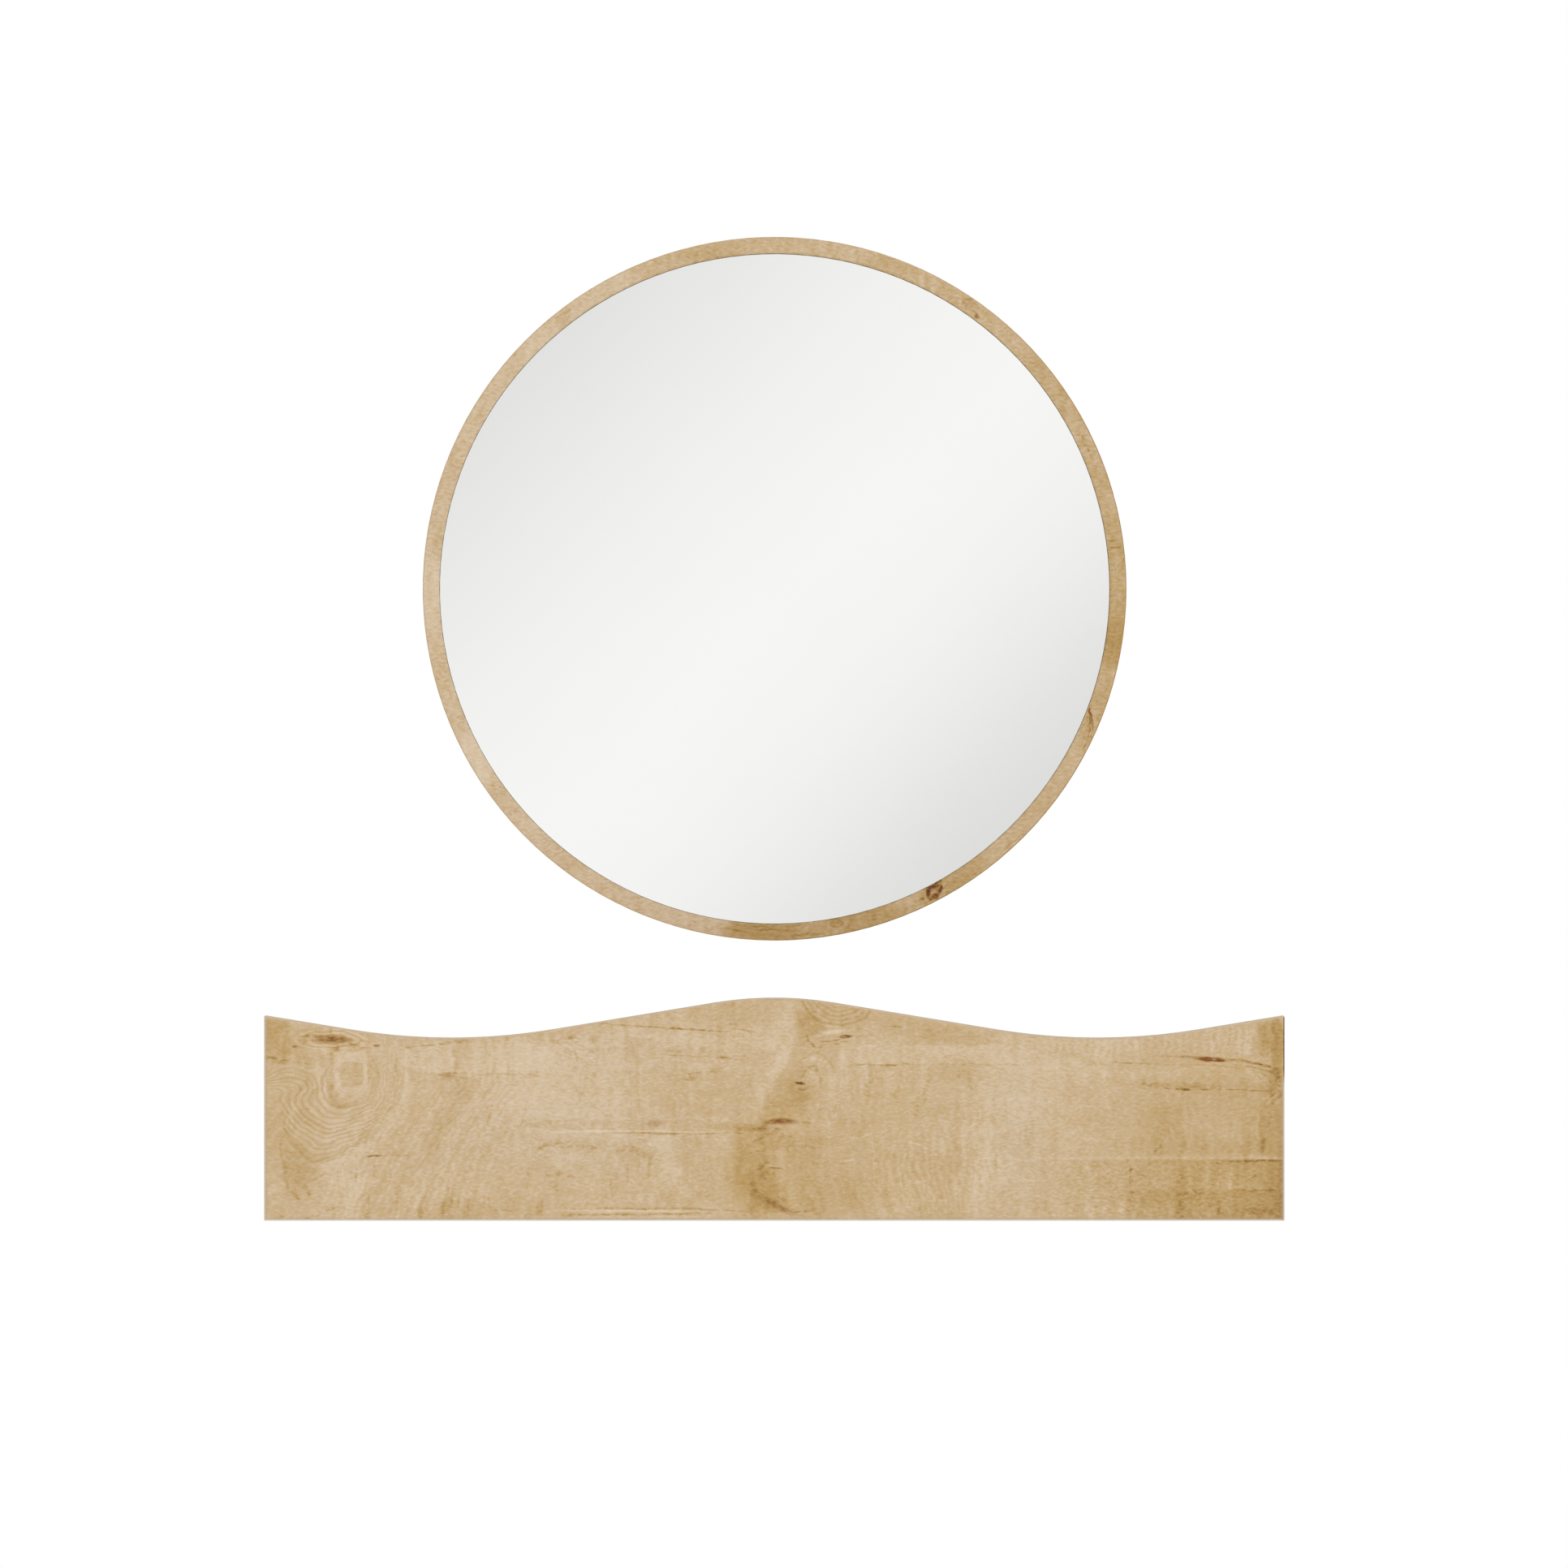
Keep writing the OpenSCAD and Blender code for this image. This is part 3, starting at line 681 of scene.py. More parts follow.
FRONT_PALE = [
    # pale rays, rings and streaks
    (1022, 1271, 25, 3.6, -4, -0.45),
    (1004, 1275.4, 14, 3.4, -12, -0.38),
    (1066, 1287.8, 9, 1.5, -4, -0.38),
    (1000, 1304, 12, 4.4, 0, -0.20),
    (995, 1323, 6, 6, 0, -0.16),
    (777, 1393.6, 118, 1.4, 0.3, -0.23),
    (710, 1394, 52, 2.8, 0, -0.20),
    (680, 1397, 16, 6, -20, -0.12),
    (770, 1492, 112, 1.8, 0.3, -0.36),
    (790, 1499.8, 112, 1.6, 0, -0.20),
    (1132, 1413, 17, 1.3, 22, -0.28),
    (1120, 1409, 7, 1.4, 12, -0.28),
    (1128, 1456, 18, 1.4, -11, -0.30),
    (1041, 1430, 19, 1.5, -6, -0.32),
    (1061, 1399, 13, 1.4, -22, -0.26),
    (1046, 1402, 9, 3.2, 0, -0.22),
    (1193, 1387, 10, 1.5, -28, -0.36),
    (1201, 1374, 1.5, 11, 0, -0.14),
    (1196, 1452, 1.7, 32, 0, -0.18),
    (1210, 1427, 15, 1.3, -10, -0.18),
    (1140, 1386, 6, 1.5, -45, -0.30),
    (1170, 1390, 6, 1.5, -40, -0.26),
    (1070, 1420, 1.5, 32, -3, -0.14),
    (1078, 1455, 1.5, 28, -10, -0.13),
    (1104, 1455, 1.7, 32, -8, -0.12),
    (1114, 1482, 1.6, 18, -14, -0.12),
    (1265, 1455, 32, 2.2, 0, -0.14),
    (1255, 1464, 26, 2.0, 0, -0.14),
    (1352, 1405, 32, 1.6, 2, -0.16),
    (1330, 1403, 15, 1.3, 4, -0.12),
    (1420, 1427, 165, 2.4, 0, -0.13),
    (1546, 1425.8, 42, 1.9, 0, -0.20),
    (1523, 1283, 4.6, 23, 2, -0.18),
    (1535, 1281, 2.2, 22, 3, -0.18),
    (1488, 1290, 2.2, 15, 0, -0.13),
    (1430, 1290, 2.2, 15, 0, -0.12),
    (1395, 1288, 3.2, 13, 0, -0.12),
    (1554, 1357, 14, 1.6, -45, -0.40),
    (1511, 1456, 3.6, 22, 0, -0.24),
    (1337, 1490, 9, 13, 0, -0.15),
    (830, 1365, 1.9, 24, -4, -0.13),
    (697, 1427, 2.2, 11, 0, -0.18),
    (945, 1436.4, 10, 1.4, 2, -0.40),
    (495, 1312, 1.8, 26, 0, -0.14),
    (476, 1312, 1.8, 24, 0, -0.10),
    (396, 1342, 1.8, 16, -3, -0.22),
    (418, 1452, 2.0, 18, -4, -0.12),
    (436, 1456, 2.0, 20, -3, -0.12),
    (412, 1456, 1.6, 18, -2, 0.14),
    (427, 1456, 1.6, 18, -3, 0.12),
]
FRONT_RED = [
    (404, 1281, 38, 11, 4, 0.12),
    (404, 1280.5, 30, 6.5, 4, 0.30),
    (412, 1291, 7, 4, 60, 0.10),
    (959, 1381.4, 23, 4.8, 0, 0.60),
    (1487, 1305, 22, 4.0, 1, 0.62),
    (1468, 1303.2, 26, 2.4, 2, 0.28),
    (1536, 1309, 22, 2.6, 10, 0.14),
    (548, 1326, 12, 4.6, 0, 0.20),
    (956, 1488, 26, 5.4, 30, 0.32),
    (1036, 1277.4, 10, 2.8, 0, 0.34),
    (799, 1384, 18, 5, 0, 0.14),
    (560, 1345, 14, 16, 0, 0.05),
    (1560, 1492, 22, 14, 0, 0.07),
    (1572, 1400, 7, 90, 0, 0.08),
    (940, 1392, 20, 10, -50, 0.10),
]
# where the decor is greyer (above 0) or warmer than its tone
FRONT_HUE = [
    (403, 1281, 36, 12, 0, -2.4),
    (958, 1382, 28, 9, 0, -5.0),
    (1486, 1305, 30, 9, 0, -1.6),
    (334, 1281, 26, 34, 0, -1.0),
    (690, 1400, 220, 66, 0, 1.7),
    (1250, 1400, 46, 120, 0, 1.9),
    (500, 1300, 60, 40, 0, 0.8),
    (430, 1405, 60, 60, 0, 1.0),
    (520, 1432, 50, 30, 0, 1.2),
    (360, 1436, 36, 24, 0, 1.4),
    (1090, 1370, 46, 80, 0, -0.9),
    (760, 1300, 140, 40, 0, 1.4),
    (935, 1440, 70, 90, 0, -1.6),
    (1110, 1460, 60, 44, 0, -1.2),
    (1490, 1450, 100, 40, 0, -1.4),
    (1490, 1312, 60, 26, 0, -1.6),
    (400, 1282, 70, 24, 0, -0.8),
]


def front_material():
    """Decor of the front panel, with its knots and figures."""
    g = Graph("oak_decor_front")
    back = g.math("GREATER_THAN", g.y, -0.171)
    u = g.add(g.mad(g.x, FRONT_K, FRONT_U), g.mul(back, 5200.0))
    v = g.mad(g.z, -FRONT_K, FRONT_V)
    p = g.xyz(u, v, 1.0)

    # upright figure lines lean to the left below the big knot's level, and bow
    # to the right at the bottom in the middle
    low = g.math("MAXIMUM", g.add(v, -1335.0), 0.0)
    lean = g.mul(g.mad(g.mul(low, low), -0.0016, g.mul(low, 0.8)), g.step(u, 610.0, 790.0, 1.0, 0.0))
    low = g.math("MAXIMUM", g.add(v, -1395.0), 0.0)
    bow = g.mul(g.mul(g.mul(low, low), -0.0022), g.mul(g.step(u, 950.0, 1010.0), g.step(u, 1110.0, 1180.0, 1.0, 0.0)))
    tone, fibre, column, streak, pore = grain(g, p, 0.0, 1.0, g.xyz(g.add(lean, bow), 0.0))

    # the figures are a little uneven
    du = g.noise(p, 0.045, 0.06, 2, 0.5, (61.0, 6.0))
    dv = g.noise(p, 0.035, 0.10, 2, 0.5, (16.0, 66.0))
    w = g.vec("ADD", p, g.xyz(g.mul(du, 1.5), g.mul(dv, 0.8), 0.0))
    fine = g.vec("ADD", p, g.xyz(g.mul(du, 1.0), g.mul(dv, 0.35), 0.0))
    drift = g.noise(p, 0.020, 0.028, 2, 0.6, (2.0, 27.0))
    sway = g.noise(p, 0.020, 0.028, 2, 0.6, (29.0, 12.0))
    far = g.vec("ADD", p, g.xyz(g.mul(drift, 6.0), g.mul(sway, 4.0), 0.0))

    tone = g.dabs(tone, far, FRONT_GROUND)
    for su, sv, a, b, deg, amount in FRONT_SLABS:
        tone = g.slab(tone, w, su, sv, a, b, amount)
    # darker wood below the long pale line at the right
    deep = g.step(u, 1260.0, 1345.0, 0.0, 0.12)
    deep = g.add(deep, g.step(u, 1372.0, 1400.0, 0.0, 0.08))
    deep = g.add(deep, g.step(u, 1436.0, 1446.0, 0.0, 0.10))
    deep = g.add(deep, g.step(u, 1500.0, 1532.0, 0.0, 0.16))
    deep = g.add(deep, g.step(u, 1550.0, 1577.0, 0.0, 0.14))
    zone = g.step(v, 1427.0, 1431.0)
    tone = g.mad(deep, zone, tone)
    zone = g.mul(zone, g.step(u, 1280.0, 1340.0))
    tone = g.mad(g.mul(column, zone), 0.012, tone)
    tone = g.mad(g.mul(fibre, zone), 0.035, tone)
    tone = g.mad(g.mul(pore, zone), 0.12, tone)
    tone = g.mad(g.step(v, 1462.0, 1470.0), g.step(u, 1340.0, 1480.0, 0.0, 0.22), tone)

    # fine lines that follow the flow: right of the big knot, at the upper right
    # and in the bow right of the middle
    flow = g.add(u, g.add(lean, bow))
    comb = g.math("SINE", g.mad(flow, 0.68, g.mad(drift, 1.6, g.mul(du, 0.8))))
    area = g.mul(g.step(flow, 455.0, 500.0, 0.0, 0.060), g.step(flow, 620.0, 720.0, 1.0, 0.0))
    area = g.mul(area, g.step(v, 1296.0, 1320.0))
    area = g.mad(g.step(v, 1294.0, 1306.0, 0.065, 0.0), g.step(u, 1270.0, 1300.0), area)
    area = g.dab(area, p, 1140, 1445, 120, 66, 0, 0.085)
    tone = g.mad(comb, area, tone)

    # the pale side and the darker side of the curved boundary in the middle
    line = g.noise(g.xyz(0.0, v, 0.0), 0.0, 0.05, 1, 0.5, (4.0, 4.0))
    curve = g.mad(g.step(v, 1276.0, 1382.0), -45.0, g.mad(line, 1.4, 976.0))
    side = g.math("SUBTRACT", u, curve)
    near = g.mul(g.step(side, -3.0, 3.0), g.step(side, 12.0, 70.0, 1.0, 0.0))
    near = g.mul(near, g.step(v, 1375.0, 1400.0, 1.0, 0.0))
    tone = g.mad(near, 0.12, tone)
    rim = g.step(g.math("ABSOLUTE", g.add(side, 9.0)), 3.0, 11.0, 1.0, 0.0)
    rim = g.mul(rim, g.step(v, 1320.0, 1372.0, 1.0, 0.0))
    tone = g.mad(rim, -0.12, tone)

    # rings round the big knot on the left: ovals with one focus in the knot, flatter
    # at the lower right, which run out into lines that arch over to the left end
    q = g.vec("ADD", w, (-427.0, -1322.0, -1.0))
    away = g.vec("LENGTH", q)
    ring = g.math("SUBTRACT", away, g.vec("DOT_PRODUCT", q, (-0.134, 0.409, 0.0)))
    slant = g.math("DIVIDE", g.vec("DOT_PRODUCT", q, (0.45, 0.893, 0.0)), away)
    slant = g.mul(g.step(slant, 0.62, 0.98, 0.0, 0.30), g.math("MAXIMUM", g.add(away, -35.0), 0.0))
    ring = g.add(ring, slant)
    arch = g.mul(g.add(u, -352.0), 0.0333)
    arch = g.mad(g.mul(arch, arch), -12.0, v)
    arch = g.mad(g.add(arch, g.mad(dv, 0.8, -1312.0)), 1.14, 29.5)
    over = g.mul(g.step(v, 1326.0, 1356.0, 1.0, 0.0), g.step(u, 370.0, 396.0, 1.0, 0.0))
    ring = g.mad(g.math("SUBTRACT", arch, ring), over, ring)
    tight = g.mul(g.step(v, 1350.0, 1410.0, 0.95, 1.30), ring)
    lines = g.noise(g.xyz(ring, g.mul(u, 0.012), 0.0), 0.26, 1.0, 2, 0.7, (9.0, 9.0))
    wave = g.step(g.math("SINE", g.mad(du, 0.5, tight)), -0.6, 1.0)
    lines = g.mad(wave, 0.90, g.mad(lines, 0.25, -0.41))
    area = g.mul(g.step(ring, 18.0, 30.0), g.step(ring, 62.0, 74.0, 1.0, 0.0))
    area = g.mul(area, g.mul(g.step(v, 1296.0, 1330.0), g.step(u, 420.0, 480.0, 1.0, 0.35)))
    tone = g.mad(g.mul(lines, area), 0.32, tone)
    tone = g.mad(g.mul(fibre, area), -0.042, tone)
    tone = g.arc(tone, w, 427, 1322, 22, 27, 0.08, 0.13)
    tone = g.arc(tone, w, 427, 1322, 31, 35, 0.07, 0.07)
    hug = g.mul(g.step(g.math("ABSOLUTE", g.add(ring, -25.0)), 0.0, 5.0, 1.0, 0.0), g.dab(0.0, w, 417, 1359, 27, 14, 8, 1.0))
    tone = g.mad(hug, 0.46, tone)
    hug = g.mul(g.step(g.math("ABSOLUTE", g.add(ring, -67.5)), 0.0, 3.0, 1.0, 0.0), g.mul(g.step(v, 1345.0, 1395.0), g.step(u, 400.0, 490.0, 1.0, 0.3)))
    tone = g.mad(hug, 0.22, tone)
    hug = g.mul(g.step(g.math("ABSOLUTE", g.add(ring, -75.0)), 2.0, 8.0, 1.0, 0.0), g.mul(g.step(v, 1300.0, 1345.0), g.step(u, 375.0, 415.0)))
    tone = g.mad(hug, -0.17, tone)

    # lens round the dark streak above the knot
    q = g.vec("MULTIPLY_ADD", w, (1 / 47.0, 1 / 13.5, 0), (-402 / 47.0, -1281 / 13.5, 0))
    lens = g.vec("LENGTH", q)
    loops = g.mul(g.math("SINE", g.mad(lens, 19.0, g.mul(du, 0.8))), g.step(lens, 0.7, 1.25, 1.0, 0.0))
    loops = g.mul(loops, g.step(lens, 0.22, 0.50))
    tone = g.mad(loops, g.step(u, 365.0, 400.0, 0.22, 0.28), tone)
    # fan of rings under the crest
    q = g.vec("MULTIPLY_ADD", w, (0.8, 1.0, 0), (-1028.0 * 0.8, -1225.0, 0))
    fan = g.vec("LENGTH", q)
    rings = g.mul(g.math("SINE", g.mul(fan, 1.22)), g.step(fan, 42.0, 38.0))
    tone = g.mad(rings, 0.15, tone)
    tone = g.mad(g.step(fan, 44.0, 34.0), 0.03, tone)
    tone = g.mad(g.step(g.math("ABSOLUTE", g.add(fan, -37.0)), 0.0, 4.0, 1.0, 0.0), 0.15, tone)
    # scales near the top edge, left of the middle
    q = g.noise(g.vec("ADD", p, g.xyz(0.0, g.mul(g.math("SINE", g.mul(u, 0.42)), 2.0))), 0.05, 0.45, 1, 0.5, (44.0, 7.0))
    tone = g.mad(g.mul(q, g.dab(0.0, w, 700, 1290, 34, 17, 0, 1.0)), 0.14, tone)

    tone = g.dabs(tone, fine, FRONT_PALE)
    marks = g.dabs(0.0, fine, FRONT_MARKS)
    tone = g.mad(marks, g.math("MAXIMUM", g.mad(fibre, 0.30, 0.98), 0.2), tone)
    red = g.dabs(0.0, fine, FRONT_RED)
    # a clear eye in the dark streak on the right
    tone = g.dab(tone, p, 1490.5, 1305.4, 4.2, 1.2, 0, -0.9)

    raw = g.mul(g.math("GREATER_THAN", g.y, -0.17995), g.math("LESS_THAN", g.y, -0.16205))
    hue = g.dabs(0.0, far, FRONT_HUE)
    # painted shade: a thin grey line on the face along its edges before the edge bands, and the bands' milled arris
    # beside it
    eu, ev = g.vec("DOT_PRODUCT", p, (1.0, 0.0, 0.0)), g.vec("DOT_PRODUCT", p, (0.0, 1.0, 0.0))
    edge = g.add(g.mad(eu, -1.0, 1577.1), g.step(ev, 1317.0, 1339.0, 6.0, 0.0))
    edge = g.math("MINIMUM", edge, g.add(eu, -319.9))
    edge = g.math("MINIMUM", edge, g.mad(ev, -1.0, 1504.0))
    edge_shade_line = g.step(g.math("ABSOLUTE", g.add(edge, -1.5)), 0.9, 3.4, 0.45, 0.0)
    arris = g.step(g.math("ABSOLUTE", g.add(edge, -0.2)), 0.1, 2.2, 0.8, 0.0)
    return decor_finish(g, p, tone, red, fibre, pore, raw, hue, edge_shade_line, arris)


RING_GROUND = [
    (1379, 770, 40, 74, 0, 0.46),
    (1378, 795, 34, 40, 0, 0.24),
    (1378, 668, 36, 60, 0, 0.24),
    (1352, 590, 40, 54, 0, 0.16),
    (1340, 640, 40, 80, 0, 0.08),
    (1352, 880, 46, 70, 0, 0.24),
    (1290, 1005, 70, 60, 0, 0.12),
    (1180, 1090, 70, 60, 0, 0.36),
    (1067, 1134, 80, 34, 0, 0.46),
    (948, 1150, 74, 28, 0, 0.58),
    (868, 1140, 40, 30, 0, -0.22),
    (813, 1124, 52, 38, 0, -0.24),
    (746, 1093, 52, 42, 0, -0.18),
    (660, 1025, 66, 60, 0, -0.20),
    (591, 937, 46, 56, 0, -0.44),
    (559, 871, 30, 50, 0, -0.14),
    (540, 799, 30, 44, 0, -0.12),
    (533, 726, 30, 60, 0, -0.36),
    (540, 652, 30, 44, 0, -0.12),
    (600, 500, 70, 90, 0, -0.16),
    (665, 425, 56, 50, 0, -0.24),
    (745, 360, 80, 60, 0, -0.16),
    (880, 308, 60, 24, 0, 0.20),
    (1103, 327, 44, 28, 0, 0.18),
    (1170, 359, 70, 50, 0, 0.06),
    (1230, 401, 40, 34, 0, 0.10),
    (1300, 480, 54, 70, 0, 0.24),
]
RING_MARKS = [
    # the pale knot at the upper right and its dark speck
    (1196, 374, 9, 11, 30, 0.16),
    (1206, 389.6, 3.2, 2.6, 30, 0.85),
    (1203, 385, 5, 1.6, 50, 0.40),
    (1191, 374, 1.8, 4.5, 20, 0.34),
    (1197, 369.6, 6, 1.6, 0, 0.36),
    (1206, 375, 4.6, 1.6, 50, 0.40),
    (1214, 384, 6, 1.4, 40, 0.26),
    (1340, 548, 13, 8, 60, 0.12),
    (1336, 541, 2.2, 5, -20, 0.48),
    (1340, 549, 3.6, 1.8, 20, 0.50),
    (1342.5, 556, 1.8, 5, -15, 0.52),
    (1333, 534, 1.8, 4, 0, 0.34),
    (1347, 562, 1.6, 5, -20, 0.30),
    # lines across and along the right side
    (1378, 674, 10, 1.3, 0, 0.58),
    (1372, 667, 8, 1.2, 8, 0.30),
    (1386, 696, 1.3, 12, 0, 0.34),
    (1377, 700, 1.3, 10, 0, 0.26),
    (1371, 716, 1.2, 12, 0, 0.24),
    # the dark upright streak at the lower right
    (1346, 878, 2.0, 9, -3, 1.25),
    (1347, 886, 1.6, 8, 4, 0.80),
    (1343.6, 889, 1.5, 8, 12, 0.85),
    (1348, 897, 1.2, 12, 0, 0.70),
    (1344.4, 902, 1.2, 10, 4, 0.60),
    (1347, 909, 1.5, 7, 0, 0.60),
    (1340, 922, 1.5, 7, 8, 0.66),
    (1337, 911, 1.3, 9, 10, 0.36),
    (1334, 903, 1.2, 11, 22, 0.34),
    (1340, 888, 1.3, 14, 22, 0.42),
    (1356, 874, 9, 1.3, 0, 0.26),
    (1344, 934, 5, 1.4, 60, 0.34),
    # the dark knot at the bottom right
    (1147.5, 1100, 4.4, 8.5, 8, 1.75),
    (1150, 1092, 6.5, 3.4, -20, 1.35),
    (1157.5, 1104, 6.5, 3.6, -35, 1.25),
    (1160.5, 1095, 3.0, 7.5, 14, 1.30),
    (1155, 1088.5, 5, 3.8, -30, 1.15),
    (1162, 1086, 5, 2.6, -40, 0.70),
    (1151, 1108, 5, 2.4, -10, 1.05),
    (1153, 1098, 13, 14, 0, 0.50),
    (1138, 1108.5, 5, 2.4, -25, 0.75),
    (1140, 1113, 14, 2.0, -24, 0.26),
    (1124, 1119, 12, 2.4, -20, 0.30),
    (1168, 1092, 9, 1.8, -30, 0.45),
    (1172, 1099, 7, 1.6, -40, 0.34),
    # the small round knot and the long lines at the bottom
    (1036, 1138, 7, 6, 0, 0.16),
    (1028, 1138, 1.3, 5, 0, 0.40),
    (1023, 1142, 1.3, 5, 10, 0.24),
    (1000, 1151, 26, 2, -4, 0.46),
    (905, 1146, 26, 1.8, 6, 0.40),
    (960, 1146, 30, 1.6, 2, 0.40),
    (982, 1141, 22, 1.4, -6, 0.26),
    (930, 1141, 24, 1.4, 3, 0.30),
    (1250, 1040, 24, 1.8, -40, 0.34),
    (700, 385, 26, 1.8, -30, 0.24),
]
# on the back, where u is 4100 further on
RING_BACK_KNOTS = [
    (4880, 600, 17, 0.95),
    (5232, 884, 13, 0.85),
    (4985, 1010, 9, 0.70),
]
RING_BACK_LINES = [
    (5050, 470, 90, 1.5, 1, 0.34),
    (4960, 474, 40, 1.2, 2, 0.42),
    (5190, 640, 120, 1.5, -1, 0.30),
    (4830, 730, 70, 1.6, 1, 0.36),
    (4905, 733, 30, 2.6, 1, 0.46),
    (5120, 792, 60, 1.4, 0, 0.32),
    (4800, 905, 110, 1.5, -1, 0.32),
    (5075, 960, 46, 2.0, 2, 0.44),
    (5150, 1060, 80, 1.4, 0, 0.30),
    (4900, 820, 130, 40, 0, 0.16),
    (5240, 720, 90, 60, 0, 0.14),
    (5060, 560, 120, 50, 0, -0.16),
    (4760, 640, 60, 90, 0, -0.14),
    (5110, 900, 80, 34, 0, -0.16),
    (5010, 1120, 140, 40, 0, 0.15),
]
RING_RED = [
    (1206, 389.6, 4, 3.4, 0, 0.34),
    (1153, 1098, 12, 13, 0, 0.26),
    (1138, 1108.5, 6, 3, -25, 0.25),
    (1346, 884, 4, 16, 0, 0.34),
    (1197, 373, 9, 9, 0, 0.10),
]


def ring_material():
    """Decor of the mirror's board, of which the front shows a thin rim."""
    g = Graph("oak_decor_mirror_board")
    back = g.math("GREATER_THAN", g.y, -0.009)
    u = g.add(g.mad(g.x, RING_K, RING_U), g.mul(back, 4100.0))
    v = g.mad(g.z, -RING_K, RING_V)
    p = g.xyz(u, v, 1.0)
    tone, fibre, column, streak, pore = grain(g, p, 140.0, 1.15)
    tone = g.mad(fibre, 0.030, tone)
    tone = g.mad(pore, 0.10, tone)
    du = g.noise(p, 0.045, 0.06, 2, 0.5, (61.0, 6.0))
    dv = g.noise(p, 0.035, 0.10, 2, 0.5, (16.0, 66.0))
    w = g.vec("ADD", p, g.xyz(g.mul(du, 1.5), g.mul(dv, 0.8), 0.0))
    tone = g.add(tone, 0.02)
    tone = g.dabs(tone, w, RING_GROUND)
    tone = g.arc(tone, w, 1036, 1137.5, 6, 5.5, 0.3, 0.34)
    marks = g.dabs(0.0, w, RING_MARKS)
    tone = g.mad(marks, g.math("MAXIMUM", g.mad(fibre, 0.15, 1.0), 0.2), tone)
    # the knot's pale middle
    tone = g.dab(tone, w, 1153, 1099, 3.6, 4.2, 0, -0.75)
    # painted shade: the face is darker just inside the rim's inner edge at the top and the lower right, where the
    # pocket wall is in shade
    q = g.vec("ADD", p, (-957.7, -725.6, -1.0))
    away = g.vec("LENGTH", q)
    top = g.step(g.math("DIVIDE", g.vec("DOT_PRODUCT", q, (0.0, -1.0, 0.0)), away), 0.60, 0.93, 0.0, 0.22)
    low = g.step(g.math("DIVIDE", g.vec("DOT_PRODUCT", q, (0.90, 0.44, 0.0)), away), 0.40, 0.85, 0.0, 0.12)
    lip_shade = g.step(g.math("ABSOLUTE", g.add(away, -414.0)), 0.4, 1.5, 1.0, 0.0)
    tone = g.mad(g.add(top, low), lip_shade, tone)
    red = g.dabs(0.0, w, RING_RED)
    # the back has its own knots and lines
    tone = g.dabs(tone, w, RING_BACK_LINES)
    tone, core = knots_on(g, tone, w, RING_BACK_KNOTS)
    red = g.add(red, core)
    # the lip of the pocket is sealed in the decor's colour; the rest of the cut is raw
    raw = g.mul(g.math("GREATER_THAN", g.y, -0.01375), g.math("LESS_THAN", g.y, -0.00005))
    return decor_finish(g, p, tone, red, fibre, pore, raw)


def knots_on(g, tone, w, rows):
    """Adds knots, as (u, v, size, depth): rings that hug a dark core, with checks
    that run off along the grain. Returns (tone, red)."""
    red = 0.0
    for u, v, size, depth in rows:
        q = g.vec("MULTIPLY_ADD", w, (0.62 / size, 1 / size, 0), (-u * 0.62 / size, -v / size, 0))
        r = g.vec("LENGTH", q)
        fade = g.step(r, 0.8, 3.4, 1.0, 0.0)
        rings = g.mul(g.math("SINE", g.mul(r, 8.5)), fade)
        tone = g.mad(rings, 0.12 * depth, tone)
        tone = g.mad(fade, 0.20 * depth, tone)
        tone = g.dab(tone, w, u, v, size * 0.85, size * 0.30, 4, 0.85 * depth)
        tone = g.dab(tone, w, u + size * 0.4, v + size * 0.08, size * 2.1, size * 0.11, 3, 0.48 * depth)
        tone = g.dab(tone, w, u - size * 1.4, v - size * 0.16, size * 1.7, size * 0.10, -4, 0.38 * depth)
        red = g.dab(red, w, u, v, size * 0.85, size * 0.36, 4, 0.30 * depth)
    return tone, red


def board_material(name, along, across, seed, face, low, high, k=1497.0, knots=(), lines=()):
    """Decor of another board. along and across are the axes that the grain runs
    along and across, and face is the axis that its two decor faces look along.
    knots and lines are placed by (face, along, across), with 1 for the face at high.
    """
    g = Graph(name)
    axes = {"x": g.x, "y": g.y, "z": g.z}
    second = g.math("GREATER_THAN", axes[face], (low + high) / 2)
    u = g.add(g.mad(axes[along], k, seed * 31.0), g.mul(second, 2600.0))
    v = g.mad(axes[across], -k, seed * 17.0)
    p = g.xyz(u, v, 1.0)
    tone, fibre, column, streak, pore = grain(g, p, seed)
    red = None
    if knots or lines:
        du = g.noise(p, 0.045, 0.06, 2, 0.5, (61.0, 6.0))
        w = g.vec("ADD", p, g.xyz(g.mul(du, 1.8), g.mul(du, -1.0), 0.0))

        def at(r):
            return (seed * 31.0 + r[1] * k + 2600.0 * r[0], seed * 17.0 - r[2] * k) + tuple(r[3:])

        tone = g.dabs(tone, w, [at(r) for r in lines])
        tone, red = knots_on(g, tone, w, [at(r) for r in knots])
    raw = g.mul(
        g.math("GREATER_THAN", axes[face], low + 0.00005),
        g.math("LESS_THAN", axes[face], high - 0.00005),
    )
    return decor_finish(g, p, tone, red, fibre, pore, raw)


